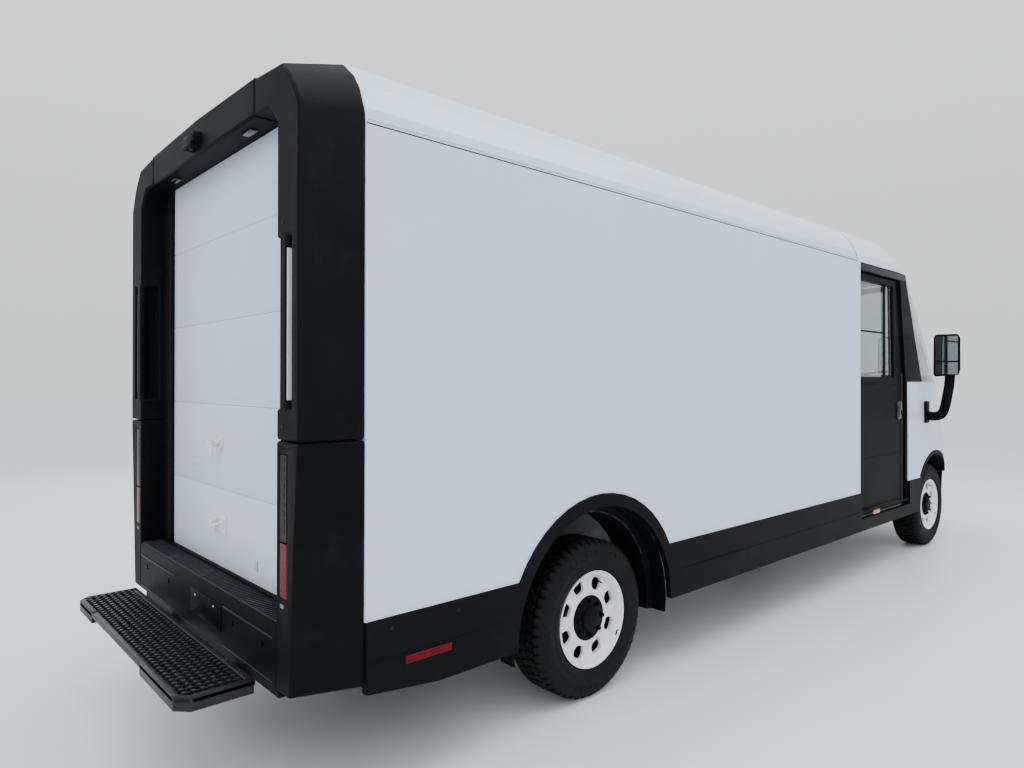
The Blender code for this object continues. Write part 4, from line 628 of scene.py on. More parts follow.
# number plate holder and the blank plate with its screws, in the middle of the bumper's rear face
holder = rounded((REAR_X - 0.0040, -0.310, 0.497), (REAR_X + 0.004, 0.048, 0.604), 0.003, 2)
piece("plate_holder", holder, black_plastic)
blank = rounded((REAR_X - 0.0065, -0.288, 0.507), (REAR_X - 0.0035, 0.026, 0.592), 0.0012, 2)
piece("blank_number_plate", blank, satin_black)
screws_at = [move(REAR_X - 0.0062, y, 0.583) @ facing for y in (-0.238, -0.024)]
piece("number_plate_screws", [(disc(0.0050, 0.0030, 14, 0.0035), screws_at)], zinc_steel)
lips = [rounded((REAR_X - out, y0, z0), (REAR_X + 0.004, y1, z1), 0.002, 2)
        for y0, y1 in ((0.262, 0.792), (-0.792, -0.325))
        for out, z0, z1 in ((0.004, 0.598, 0.606), (0.003, 0.446, 0.452))]
piece("bumper_edge_lips", lips, tread_plastic)
sensors_at = [move(REAR_X - 0.0005, y, 0.560) @ facing for y in (-0.70, -0.42, 0.36, 0.70)]
piece("parking_sensors", [(disc(0.013, 0.0035, 24, 0.012, 0.0008), sensors_at)], satin_black)

# open steel step: a folded frame round a grating with raised teeth
rear, front, half, corner = -3.685, -3.425, 0.735, 0.045
frame_ring = prism([(rear, -half + corner), (rear + corner, -half), (front, -half), (front, half),
                    (rear + corner, half), (rear, half - corner)], 0.430, 0.452, "z")
caps = [f for f in frame_ring.faces if abs(f.normal.z) > 0.9]
bmesh.ops.inset_region(frame_ring, faces=caps, thickness=0.026, use_even_offset=True)
caps = [f for f in frame_ring.faces if abs(f.normal.z) > 0.9 and f.calc_area() > 0.2]
bmesh.ops.delete(frame_ring, geom=caps, context="FACES_ONLY")
bmesh.ops.bridge_loops(frame_ring, edges=[e for e in frame_ring.edges if e.is_boundary])
soften(frame_ring, 0.005, 0.6)
bars_x = [-3.647 + 0.0296 * i for i in range(7)]
TOOTH_GAP = 0.0345
bar = rounded((-0.0055, -0.712, 0.418), (0.0055, 0.712, 0.4515), 0.002, 1)
tooth = rounded((-0.0075, -0.0085, 0.4490), (0.0075, 0.0085, 0.4590), 0.0025, 2)
web = rounded((-3.662, -0.0035, 0.420), (-3.448, 0.0035, 0.4480), 0.001, 1)
piece("rear_step_grating", [
    frame_ring, (bar, [move(x=x) for x in bars_x]),
    (tooth, [move(x=x, y=-0.690 + TOOTH_GAP * j) for x in bars_x for j in range(41)]),
    (web, [move(y=-0.6725 + TOOTH_GAP * j) for j in range(40)])], step_steel, stands_for=("rear_step",))
edge = []
for side, inner in ((1, 0.450), (-1, 0.300)):
    wrap = [(rear, inner), (rear, 0.690), (-3.640, half), (-3.430, half), (-3.430, 0.714),
            (-3.649, 0.714), (-3.664, 0.699), (-3.664, inner)]
    edge.append(prism([(x, side * y) for x, y in wrap], 0.404, 0.4560, "z", 0.003, 2))
piece("rear_step_edge_guards", edge, step_steel)
arms = []
for side in (1, -1):
    y0, y1 = 0.360 * side, 0.440 * side
    arms += [rounded((-3.545, y0, 0.339), (-2.992, y1, 0.379), 0.004, 2),
             rounded((-3.545, y0, 0.377), (-3.505, y1, 0.416), 0.003, 2),
             rounded((-3.060, y0, 0.377), (-2.992, y1, 0.4492), 0.003, 2),
             (disc(0.011, 0.008, 6, 0.011, 0.001),
              [move(x, side * 0.4405, 0.359) @ spun(-QUARTER * side, "X") for x in (-3.045, -3.015)])]
piece("rear_step_arms", arms, chassis_steel, slot="black_plastic")

# ---------------------------------------------------------------- side skirts and rear wheelhouses
for side_name, side in SIDES:
    dress(f"side_cladding_{side_name}", black_plastic, angle=28, finish=0.006)
    outer = BODY_HALF + 0.010
    folds = [rounded((x0, side * (outer - 0.004), 0.507), (x1, side * (outer + 0.0025), 0.514), 0.002, 2)
             for x0, x1 in ((-3.140, -2.520), (-1.270, 2.020))]
    piece(f"skirt_crease_{side_name}", folds, black_plastic)
    for label, x, long, lens in (("rear", -2.888, 0.105, red_lens), ("front", 1.35, 0.062, amber_lens)):
        lamp = rounded((x - long, side * (outer - 0.003), 0.472), (x + long, side * (outer + 0.005), 0.502),
                       0.004, 3)
        piece(f"side_marker_{label}_{side_name}", lamp, lens)
    clips_at = [move(x, side * outer, 0.615) @ spun(-QUARTER * side, "X")
                for x in (-3.05, -2.75, -1.05, -0.45, 0.15, 0.75)]
    piece(f"skirt_clips_{side_name}", [(disc(0.007, 0.0024, 14, 0.005), clips_at)], seal_rubber)
    # wheelhouse liner: half round over the tyre, closed towards the frame
    house = turn([(0.532, 0.984), (0.538, 0.984), (0.538, 0.899), (0.496, 0.893), (0.496, 0.690),
                  (0.170, 0.690), (0.170, 0.694), (0.490, 0.694), (0.490, 0.898), (0.532, 0.904)],
                 steps=36, angle=math.radians(196))
    close_holes(house)
    upright = 1 if sum(v.co.z for v in house.verts) > 0 else -1
    level_ends = spun(math.radians(8 if upright > 0 else -8))
    flip = Matrix.Diagonal((1, side, upright, 1))
    piece(f"wheelhouse_liner_{side_name}", [(house, move(REAR_AXLE_X, 0, HUB_Z) @ flip @ level_ends)],
          black_plastic, angle=30)
    dress(f"wheel_housing_{side_name}", black_plastic)


# ---------------------------------------------------------------- wheels
def carve(bm, cutters):
    """Cuts the cutters' shape out of a bmesh and returns the rest."""
    items = []
    for label, part in (("whole", bm), ("cutters", cutters)):
        bmesh.ops.recalc_face_normals(part, faces=part.faces)
        mesh = bpy.data.meshes.new(label)
        part.to_mesh(mesh)
        part.free()
        item = bpy.data.objects.new(label, mesh)
        bpy.context.scene.collection.objects.link(item)
        items.append(item)
    tool = items[0].modifiers.new("cut", "BOOLEAN")
    tool.object = items[1]
    tool.solver = "EXACT"
    bpy.context.view_layer.update()
    mesh = bpy.data.meshes.new_from_object(items[0].evaluated_get(bpy.context.evaluated_depsgraph_get()))
    left = bmesh.new()
    left.from_mesh(mesh)
    for item in items:
        old = item.data
        bpy.data.objects.remove(item)
        bpy.data.meshes.remove(old)
    bpy.data.meshes.remove(mesh)
    return left


TYRE_PROFILE = (
    (0.2165, 0.0825), (0.2330, 0.1000), (0.2440, 0.1075), (0.2560, 0.1095), (0.2570, 0.1108), (0.2640, 0.1112),
    (0.2650, 0.1103), (0.2860, 0.1120), (0.2870, 0.1125), (0.3000, 0.1123), (0.3010, 0.1114), (0.3240, 0.1095),
    (0.3400, 0.1050), (0.3520, 0.0965), (0.3585, 0.0840), (0.3605, 0.0700),
)
tyre_ring = list(TYRE_PROFILE) + [(r, -y) for r, y in reversed(TYRE_PROFILE)]
RIM_PROFILE = (
    (0.2235, 0.1035), (0.2255, 0.1040), (0.2265, 0.1020), (0.2230, 0.0985), (0.2158, 0.0840), (0.2158, -0.0840),
    (0.2230, -0.0985), (0.2265, -0.1030), (0.2230, -0.1040), (0.2080, -0.0860), (0.2080, 0.0480),
    (0.1650, 0.0515), (0.0740, 0.0600), (0.0740, 0.0690), (0.1000, 0.0735), (0.1250, 0.0722), (0.1500, 0.0650),
    (0.1800, 0.0640), (0.1930, 0.0700), (0.2000, 0.0840), (0.2060, 0.0925), (0.2140, 0.0950), (0.2190, 0.1005),
)
HUB_PROFILE = (
    (0.0, 0.0990), (0.0440, 0.0990), (0.0530, 0.0960), (0.0570, 0.0880), (0.0580, 0.0800), (0.0660, 0.0770),
    (0.1010, 0.0765), (0.1065, 0.0735), (0.1040, 0.0640), (0.0735, 0.0600), (0.0735, 0.0560), (0.0, 0.0560),
)
lug_outline = [(0.0640, 0.350), (0.0640, 0.3705), (0.0770, 0.3705), (0.0900, 0.3610), (0.0985, 0.3520),
               (0.1075, 0.3290), (0.1020, 0.3280), (0.0900, 0.350)]
LUGS = 54
pitch = 2 * math.pi / LUGS
for end in ("front", "rear"):
    axle_x = FRONT_AXLE_X if end == "front" else REAR_AXLE_X
    for side_name, side in SIDES:
        body = f"wheel_{end}_{side_name}"
        at = move(axle_x, side * WHEEL_Y, HUB_Z) @ Matrix.Diagonal((1, side, 1, 1))
        tread = [(turn(tyre_ring, steps=108), at)]
        lug = prism(lug_outline, -0.0145, 0.0145, "x", 0.0022, 1)
        back_lug = prism([(-y, z) for y, z in lug_outline], -0.0145, 0.0145, "x", 0.0022, 1)
        tread.append((lug, [at @ spun(pitch * i) for i in range(LUGS)]))
        tread.append((back_lug, [at @ spun(pitch * (i + 0.5)) for i in range(LUGS)]))
        middle = rounded((-0.0160, 0.0215, 0.350), (0.0160, 0.0565, 0.3704), 0.0020, 1)
        bmesh.ops.rotate(middle, matrix=Matrix.Rotation(math.radians(12), 3, "Z"), cent=(0, 0.039, 0),
                         verts=middle.verts)
        tread.append((middle, [at @ spun(pitch * (i + 0.3)) for i in range(LUGS)]
                      + [at @ spun(pitch * (i + 0.8)) @ spun(math.pi, "Z") for i in range(LUGS)]))
        centre = rounded((-0.0150, -0.0145, 0.350), (0.0150, 0.0145, 0.3704), 0.0020, 1)
        tread.append((centre, [at @ spun(pitch * (i + 0.05)) @ spun(-0.35, "Z") for i in range(LUGS)]))
        small = rounded((-0.0045, 0.1085, 0.3060), (0.0045, 0.1124, 0.3260), 0.0010, 1)
        tread.append((small, [at @ spun(pitch * (i + 0.5)) for i in range(LUGS)]))
        piece(f"tyre_with_tread_{end}_{side_name}", tread, tyre_rubber, body,
              stands_for=(f"tyre_{end}_{side_name}",), angle=32)

        cutter = prism([(-0.0210, 0.132), (0.0210, 0.132), (0.0320, 0.156), (0.0335, 0.178), (0.0240, 0.191),
                        (-0.0240, 0.191), (-0.0335, 0.178), (-0.0320, 0.156)], 0.020, 0.110, "y", 0.007, 3)
        rim = carve(turn(RIM_PROFILE, steps=96), gather([(cutter, ring(8, 0.5))]))
        piece(f"steel_wheel_{end}_{side_name}", [(rim, at)], wheel_enamel, body, "wheel_paint",
              (f"rim_{end}_{side_name}",), angle=32)
        hub = [(turn(HUB_PROFILE, steps=48), at)]
        for bolt_part, out in ((disc(0.0115, 0.0200, 6, 0.0100, 0.0012), 0.0760), (disc(0.0140, 0.0030, 20), 0.0755)):
            hub.append((bolt_part, [at @ turned @ move(0, out, 0.0820) @ spun(-QUARTER, "X") for turned in ring(8)]))
        piece(f"hub_and_nuts_{end}_{side_name}", hub, black_plastic, body, "wheel_paint", angle=30)
        brake = [(turn([(0.118, 0.030), (0.162, 0.030), (0.162, 0.018), (0.118, 0.018)], steps=64), at),
                 (turn([(0.118, 0.008), (0.162, 0.008), (0.162, -0.004), (0.118, -0.004)], steps=64), at)]
        drum = turn([(0.2035, 0.0460), (0.2075, 0.0460), (0.2075, -0.0800), (0.2035, -0.0800)], steps=64)
        brake.append((drum, at))
        vane = rounded((-0.002, 0.007, 0.122), (0.002, 0.019, 0.158))
        brake.append((vane, [at @ spun(2 * math.pi * i / 24) for i in range(24)]))
        spoke = rounded((-0.012, 0.019, 0.115), (0.012, 0.060, 0.135), 0.003, 1)
        brake.append((spoke, [at @ spun(2 * math.pi * i / 8) for i in range(8)]))
        piece(f"brake_disc_{end}_{side_name}", brake, chassis_steel, body, angle=30, slot=None)
        valve = [(disc(0.0038, 0.030, 12, 0.0032, 0.0006), at @ spun(0.35) @ move(0, 0.078, 0.176)
                  @ spun(math.radians(-100), "X")),
                 (rounded((-0.014, 0.0935, 0.205), (0.014, 0.1000, 0.2125), 0.002, 1), at @ spun(2.1))]
        piece(f"valve_and_weight_{end}_{side_name}", valve, seal_rubber, body, angle=40, slot=None)

# ---------------------------------------------------------------- cab sides
WINDOW = ((1.115, 1.530), (1.819, 1.530), (1.788, 2.271), (1.115, 2.271))


def grown(outline, by):
    """An outline of a rectangle-like hole, made larger or smaller about its middle."""
    cx = sum(p[0] for p in outline) / len(outline)
    cz = sum(p[1] for p in outline) / len(outline)
    return [(x + math.copysign(by, x - cx), z + math.copysign(by, z - cz)) for x, z in outline]


def frame_of(outline, inner, outer, low, high, width=0.002):
    """A frame with that outline, between two offsets, from y low to y high, as a bmesh."""
    bm = prism(grown(outline, outer), low, high, "y")
    hole = prism(grown(outline, inner), min(low, high) - 0.02, max(low, high) + 0.02, "y")
    made = carve(bm, hole)
    soften(made, width, 0.6, clamp=True)
    return made


for side_name, side in SIDES:
    door = f"door_{side_name}"
    dress(f"cab_door_{side_name}", satin_black, door, "black_paint", finish=0.005)
    dress(f"door_glass_{side_name}", cab_glass, door)
    dress(f"door_frame_{side_name}", satin_black, angle=28, finish=0.004)
    face = 0.9795
    seal = frame_of(WINDOW, -0.012, 0.014, side * (face - 0.008), side * (face + 0.0035))
    piece(f"door_window_seal_{side_name}", seal, seal_rubber, door)
    inside = frame_of(WINDOW, -0.010, 0.018, side * 0.9300, side * 0.9365)
    piece(f"door_window_trim_inside_{side_name}", inside, cab_trim, door, "black_plastic")
    bars = [rounded((1.640, side * (face - 0.026), 1.525), (1.662, side * (face - 0.004), 2.275), 0.003, 2),
            rounded((1.120, side * (face - 0.0245), 1.880), (1.642, side * (face - 0.014), 1.894), 0.002, 2)]
    piece(f"door_window_bars_{side_name}", bars, seal_rubber, door)
    strip = prism([(1.986, 0.500), (2.008, 0.500), (2.008, 1.560), (1.986, 1.560)],
                  side * (face - 0.001), side * (face + 0.004), "y", 0.002, 2)
    piece(f"door_front_edge_strip_{side_name}", strip, tread_plastic, door)
    rub = [rounded((1.075, side * (face - 0.002), 0.512), (1.970, side * (face + 0.0045), 0.520), 0.002, 2),
           rounded((1.075, side * (face - 0.002), 1.470), (1.970, side * (face + 0.0045), 1.480), 0.002, 2),
           rounded((1.075, side * (face - 0.002), 0.900), (1.970, side * (face + 0.0035), 0.906), 0.0015, 1)]
    piece(f"door_creases_{side_name}", rub, satin_black, door, "black_paint")
    grip = [rounded((1.884, side * (face - 0.004), 1.180), (1.980, side * (face + 0.012), 1.330), 0.010, 3),
            rounded((1.900, side * (face + 0.008), 1.205), (1.965, side * (face + 0.0165), 1.305), 0.007, 3)]
    piece(f"door_handle_pod_{side_name}", grip, piano_black, door)
    # inside of the door: pull bar and lower pocket
    inner = DOOR_INNER_Y
    pull = [tube([(1.90, side * (inner - inwards), z) for inwards, z in
                  ((0.0, 1.03), (0.040, 1.04), (0.045, 1.18), (0.040, 1.36), (0.0, 1.37))], 0.0105),
            rounded((1.12, side * (inner + 0.001), 0.60), (1.83, side * (inner - 0.0022), 1.44), 0.001, 2)]
    piece(f"door_inner_panel_{side_name}", pull, cab_trim, door, "black_plastic")
    # header band over the door, and the lower guide rail
    band = prism([(1.086, 2.336), (2.045, 2.336), (2.022, 2.388), (1.086, 2.388)],
                 side * 0.998, side * 1.0035, "y", 0.002, 2)
    piece(f"door_header_band_{side_name}", band, tread_plastic)
    sill = [rounded((1.10, side * 0.930, 0.4585), (2.02, side * 0.975, 0.4665), 0.002, 2)]
    ridge = rounded((-0.0025, side * 0.932, 0.4655), (0.0025, side * 0.973, 0.4685), 0.001, 1)
    sill.append((ridge, [move(x=1.12 + 0.02 * i) for i in range(45)]))
    piece(f"door_guide_rail_{side_name}", sill, cast_aluminium, slot=None)

# ---------------------------------------------------------------- mirrors
for side_name, side in SIDES:
    foot = [rounded((2.462, side * 1.0062, 1.128), (2.548, side * 1.026, 1.322), 0.007, 3)]
    arm = tube([(2.505, side * 1.020, 1.195), (2.505, side * 1.050, 1.190), (2.503, side * 1.100, 1.188),
                (2.498, side * 1.142, 1.215), (2.490, side * 1.165, 1.290), (2.484, side * 1.185, 1.400),
                (2.480, side * 1.200, 1.500), (2.480, side * 1.204, 1.590)], 0.0400, 20)
    bmesh.ops.scale(arm, vec=(0.62, 1, 1), space=move(-2.495, 0, 0), verts=arm.verts)
    foot.append(arm)
    head = prism([(1.096, 1.535), (1.280, 1.552), (1.292, 1.600), (1.292, 1.870), (1.272, 1.903),
                  (1.104, 1.905), (1.086, 1.880), (1.083, 1.560)], 2.431, 2.516, "x", 0.016, 4)
    shift = [v for v in head.verts if v.co.x > 2.48]
    bmesh.ops.scale(head, vec=(1, 0.82, 0.90), space=move(0, -1.188, -1.720), verts=shift)
    foot.append((head, Matrix.Diagonal((1, side, 1, 1))))
    piece(f"mirror_housing_{side_name}", foot, black_plastic,
          stands_for=(f"mirror_{side_name}",), angle=40)
    for label, low_z, high_z in (("upper", 1.672, 1.885), ("wide_angle", 1.556, 1.660)):
        rim = frame_of(((1.104, low_z), (1.276, low_z), (1.276, high_z), (1.104, high_z)),
                       -0.004, 0.006, 0.0, 0.006)
        bmesh.ops.rotate(rim, matrix=Matrix.Rotation(math.radians(-90), 3, "Z"), verts=rim.verts)
        spot = move(2.4285, 0, 0) @ Matrix.Diagonal((1, -side, 1, 1))
        piece(f"mirror_rim_{label}_{side_name}", [(rim, spot)], seal_rubber)
        glass = rounded((2.4300, side * 1.104, low_z), (2.4335, side * 1.276, high_z), 0.001, 1)
        if label == "wide_angle":
            bmesh.ops.subdivide_edges(glass, edges=glass.edges[:], cuts=3, use_grid_fill=True)
        piece(f"mirror_glass_{label}_{side_name}", glass, mirror_glass)
    blinker = rounded((2.500, side * 1.250, 1.690), (2.512, side * 1.262, 1.800), 0.003, 2)
    piece(f"mirror_repeater_{side_name}", blinker, amber_lens)

# ---------------------------------------------------------------- nose
for side_name, side in SIDES:
    dress(f"wing_{side_name}", white_paint)
    # flare round the front arch, and the liner that turns in from it
    for part, thick in (("flare", 0.008), ("liner", 0.003)):
        arch = bmesh.new()
        bmesh.ops.create_grid(arch, x_segments=48, y_segments=3, size=0.5)
        for v in arch.verts:
            turned, across_it = math.radians(90 + 107 * v.co.x), v.co.y
            reach = FLARE_RADIUS + FLARE_WIDTH * across_it if part == "flare" else LINER_RADIUS
            x, z = FRONT_AXLE_X + reach * math.cos(turned), HUB_Z + reach * math.sin(turned)
            inset, shoulder, nose = at_level(NOSE, z)
            share = max(x - FRONT_AXLE_X - shoulder, 0.0) / (nose - shoulder)
            half = (BODY_HALF - inset) * (1 - share ** NOSE_POWER) ** (1 / NOSE_POWER)
            y = half + 0.005 - 0.016 * across_it ** 2
            if part == "liner":
                y = 0.700 + (half - 0.003 - 0.700) * (across_it + 0.5)
            v.co = (x, side * y, z)
        bmesh.ops.recalc_face_normals(arch, faces=arch.faces)
        outwards = sum(f.normal.y * side if part == "flare" else f.normal.z for f in arch.faces)
        if outwards < 0:
            bmesh.ops.reverse_faces(arch, faces=arch.faces)
        bmesh.ops.solidify(arch, geom=arch.faces[:], thickness=thick)
        piece(f"front_arch_{part}_{side_name}", arch, black_plastic, angle=40)
dress("hood", white_paint, "hood_lid")
dress("front_fascia", satin_black, slot="black_paint")
dress("lamp_bar", piano_black, slot="lamp_clear")
dress("front_bumper", black_plastic, finish=0.004)
bar_light = patch(((0.952, 0.005, 0.075, 0.905), (0.996, 0.005, 0.069, 0.9035)), (-0.60, 0.958), (0.60, 0.990),
                  0.0015, 0.010, 60, 4, 0.002)
piece("light_bar_lens", bar_light, lamp_lens, angle=40)
for side_name, side in SIDES:
    y0, y1 = (0.520, 0.800) if side > 0 else (-0.800, -0.520)
    back = patch(FASCIA, (y0, 0.740), (y1, 0.880), 0.0030, 0.012, 20, 6, 0.003)
    piece(f"headlamp_bezel_{side_name}", back, piano_black, slot="lamp_clear", angle=40)
    for i, y in enumerate((0.590, 0.670, 0.745)):
        spot = on_nose(FASCIA, side * y, 0.810, 0.0005)
        ahead = on_nose(FASCIA, side * y, 0.810, 0.1) - spot
        turned_to = ahead.to_track_quat("Z", "Y").to_matrix().to_4x4()
        bowl = gather([(turn([(0.0, 0.0010), (0.012, 0.0015), (0.024, 0.0040), (0.030, 0.0062), (0.031, 0.0062),
                              (0.031, 0.0), (0.0, 0.0)], "Z", 36), Matrix.Translation(spot) @ turned_to)])
        piece(f"headlamp_reflector_{i}_{side_name}", bowl, reflector, angle=40)
        bulb = gather([(turn([(0.0, 0.0095), (0.006, 0.0088), (0.011, 0.0060), (0.012, 0.0020), (0.0, 0.0020)],
                             "Z", 28), Matrix.Translation(spot) @ turned_to)])
        piece(f"headlamp_projector_{i}_{side_name}", bulb, lamp_lens, angle=40)
    turn_lamp = patch(FASCIA, (side * 0.815, 0.740), (side * 0.872, 0.880), 0.0025, 0.010, 6, 4, 0.003)
    piece(f"front_turn_lamp_{side_name}", turn_lamp, amber_lens, slot="lamp_clear", angle=40)
fins = []
for z in (0.690, 0.712, 0.734, 0.756, 0.778, 0.800, 0.822, 0.844, 0.866, 0.888):
    fins.append(patch(FASCIA, (-0.490, z), (0.490, z + 0.010), 0.0060, 0.012, 40, 1, 0.0015))
piece("grille_fins", fins, piano_black, slot="black_paint", angle=40)
intake = []
for z in (0.480, 0.506, 0.532, 0.558):
    intake.append(patch(BUMPER, (-0.560, z), (0.560, z + 0.012), 0.0, 0.008, 40, 1, 0.0015))
plate = patch(BUMPER, (-0.165, 0.585), (0.165, 0.640), 0.0, 0.004, 8, 2, 0.001)
intake.append(plate)
piece("bumper_intake_fins", intake, tread_plastic, angle=40)
creases = [patch(NOSE, (-0.585, 1.345), (0.585, 1.353), 0.0012, 0.006, 40, 1, 0.001),
           patch(NOSE, (-0.585, 1.060), (0.585, 1.067), 0.0012, 0.006, 40, 1, 0.001)]
piece("hood_creases", creases, white_paint, "hood_lid", angle=40)
catch_cover = patch(NOSE, (-0.060, 1.012), (0.060, 1.030), 0.0015, 0.008, 8, 1, 0.002)
piece("hood_catch_cover", catch_cover, piano_black, "hood_lid", angle=40)


# ---------------------------------------------------------------- windscreen, its border and wipers
def on_glass(y, z, out=0.0):
    """A point of the windscreen's outer face, pushed outwards and a little up."""
    spot = on_nose(GLASS, y, z, out * 0.82)
    return spot + Vector((0, 0, out * 0.57))


dress("windscreen", cab_glass)
border = []
for low_y, high_y, low_z, high_z in ((-0.90, 0.90, 1.500, 1.560), (-0.86, 0.86, 2.335, 2.385)):
    border.append(patch(GLASS, (low_y, low_z), (high_y, high_z), 0.0018, 0.003, 48, 3))
piece("windscreen_black_border", border, piano_black, slot="cab_glass", angle=40)
for i, (foot_y, tip_y) in enumerate(((0.62, 0.02), (-0.08, -0.68))):
    pivot_spot = on_glass(foot_y, 1.515, 0.014)
    blade_ends = [on_glass(foot_y + (tip_y - foot_y) * s, 1.560 + 0.050 * s, 0.014)
                  for s in (0.05, 0.3, 0.55, 0.8, 1.0)]
    arm_line = [pivot_spot, pivot_spot.lerp(blade_ends[2], 0.35) + Vector((0.010, 0, 0.012)),
                pivot_spot.lerp(blade_ends[2], 0.75) + Vector((0.010, 0, 0.010)),
                blade_ends[2] + Vector((0.006, 0, 0.004))]
    wiper = [tube(arm_line, 0.0075), tube(blade_ends, 0.0085),
             (disc(0.018, 0.020, 24, 0.015, 0.002), Matrix.Translation(pivot_spot - Vector((0, 0, 0.010))))]
    piece(f"wiper_{i}", wiper, seal_rubber, angle=40)

# ---------------------------------------------------------------- inside the cab
dress("dashboard", cab_trim, finish=0.008)
dress("cab_floor", floor_coating)
screen = [(rounded((-0.012, -0.165, -0.060), (0.006, 0.165, 0.060), 0.006, 3),
           move(2.270, 0.45, 1.415) @ spun(math.radians(-12))),
          (rounded((-0.012, -0.150, -0.110), (0.006, 0.150, 0.110), 0.008, 3),
           move(2.270, 0.02, 1.400) @ spun(math.radians(-12)))]
piece("instrument_and_centre_screens", screen, screen_glass, slot="cab_trim")
screen_feet = [rounded((2.266, y - 0.05, 1.27), (2.330, y + 0.05, 1.42), 0.010, 2) for y in (0.45, 0.02)]
piece("screen_mounts", screen_feet, cab_trim)
vents = []
for y in (-0.70, -0.28, 0.76):
    vents.append((rounded((2.196, y - 0.085, 1.235), (2.222, y + 0.085, 1.300), 0.006, 2), move(0.009)))
    for k in range(4):
        vents.append(rounded((2.198, y - 0.075, 1.246 + 0.013 * k), (2.212, y + 0.075, 1.250 + 0.013 * k),
                             0.001, 1))
piece("dash_vents", vents, piano_black, slot="cab_trim")
buttons = [rounded((2.208, -0.100, 1.165), (2.232, 0.140, 1.215), 0.006, 2)]
key = rounded((2.205, -0.014, 1.176), (2.212, 0.014, 1.204), 0.003, 2)
buttons.append((key, [move(y=-0.070 + 0.036 * k) for k in range(6)]))
piece("dash_switches", buttons, satin_black, slot="cab_trim")
glove = rounded((2.2290, -0.780, 1.060), (2.2420, -0.340, 1.200), 0.008, 3)
piece("glove_box_lid", glove, cab_trim)

hub_at = Vector((2.200, 0.450, 1.260))
wheel_turn = Matrix.Translation(hub_at) @ spun(math.radians(-40))
grip_ring = turn([(0.210 + 0.0155 * math.cos(a), 0.0155 * math.sin(a)) for a in
                  [2 * math.pi * k / 14 for k in range(14)]], "Z", 72)
steering = [(grip_ring, wheel_turn),
            (disc(0.046, 0.034, 36, 0.040, 0.006), wheel_turn @ move(z=-0.024)),
            (rounded((-0.052, -0.062, -0.014), (0.052, 0.062, 0.006), 0.012, 3), wheel_turn)]
for k in range(3):
    angle = math.radians(90 + 120 * k)
    spoke = rounded((0.030, -0.017, -0.012), (0.203, 0.017, 0.001), 0.005, 3)
    steering.append((spoke, wheel_turn @ spun(angle, "Z")))
    stud = rounded((0.072, -0.011, 0.000), (0.118, 0.011, 0.005), 0.003, 2)
    steering.append((stud, wheel_turn @ spun(angle, "Z")))
piece("steering_wheel_with_grips", steering, cab_trim, "steering_wheel_body",
      stands_for=("steering_wheel",), angle=40)

# pedals and mat
pedals = []
for y, wide in ((0.27, 0.030), (0.40, 0.045)):
    pad = rounded((-0.007, -wide, -0.045), (0.007, wide, 0.045), 0.004, 2)
    pedals.append((pad, move(2.640, y, 0.800) @ spun(math.radians(-25))))
    pedals.append(tube([(2.648, y, 0.80), (2.672, y, 0.88), (2.690, y, 1.00), (2.704, y, 1.06)], 0.007))
piece("pedals", pedals, seal_rubber, slot="cab_trim")
mat = [rounded((1.960, 0.06, 0.6602), (2.640, 0.46, 0.6650), 0.002, 2)]
groove = rounded((1.980, -0.004, 0.6645), (2.620, 0.004, 0.6675), 0.001, 1)
mat.append((groove, [move(y=0.080 + 0.020 * k) for k in range(19)]))
piece("driver_floor_mat", mat, seal_rubber, slot="floor_coating")
dress("seat_base", cab_trim, finish=0.006)
rails = [rounded((1.42, y - 0.020, 0.6605), (1.86, y + 0.020, 0.690), 0.004, 2) for y in (0.262, 0.638)]
rails.append(rounded((1.40, 0.235, 0.985), (1.88, 0.665, 1.0085), 0.006, 3))
piece("seat_runners_and_pan", rails, chassis_steel, slot="cab_trim")


# ---------------------------------------------------------------- driver's seat, padded pieces
def swell(bm, name, voxel, cap, hold, puff=4.0):
    """Inflates a closed pad under its cover by cloth pressure. hold(co) is true where it is fixed.
    No point moves further than cap metres."""
    bmesh.ops.recalc_face_normals(bm, faces=bm.faces)
    mesh = bpy.data.meshes.new(name)
    bm.to_mesh(mesh)
    bm.free()
    item = bpy.data.objects.new(name, mesh)
    bpy.context.scene.collection.objects.link(item)
    skin = item.modifiers.new("skin", "REMESH")
    skin.mode = "VOXEL"
    skin.voxel_size = voxel
    bpy.context.view_layer.update()
    graph = bpy.context.evaluated_depsgraph_get()
    even = bpy.data.meshes.new_from_object(item.evaluated_get(graph))
    item.modifiers.clear()
    item.data = even
    start = [v.co.copy() for v in even.vertices]
    fixed = item.vertex_groups.new(name="fixed")
    fixed.add([v.index for v in even.vertices if hold(v.co)], 1.0, "REPLACE")
    cloth = item.modifiers.new("cloth", "CLOTH")
    cloth.settings.use_pressure = True
    cloth.settings.uniform_pressure_force = puff
    cloth.settings.effector_weights.gravity = 0.0
    cloth.settings.vertex_group_mass = "fixed"
    cloth.point_cache.frame_start = 1
    cloth.point_cache.frame_end = 20
    for step in range(1, 21):
        bpy.context.scene.frame_set(step)
    graph = bpy.context.evaluated_depsgraph_get()
    swollen = bpy.data.meshes.new_from_object(item.evaluated_get(graph))
    item.modifiers.clear()
    for v, old in zip(swollen.vertices, start):
        shift = v.co - old
        if shift.length > cap:
            v.co = old + shift.normalized() * cap
    item.data = swollen
    bpy.context.scene.frame_set(1)
    made = bmesh.new()
    made.from_mesh(item.data)
    bpy.data.objects.remove(item)
    bmesh.ops.smooth_vert(made, verts=made.verts, factor=0.5, use_axis_x=True, use_axis_y=True, use_axis_z=True)
    return made


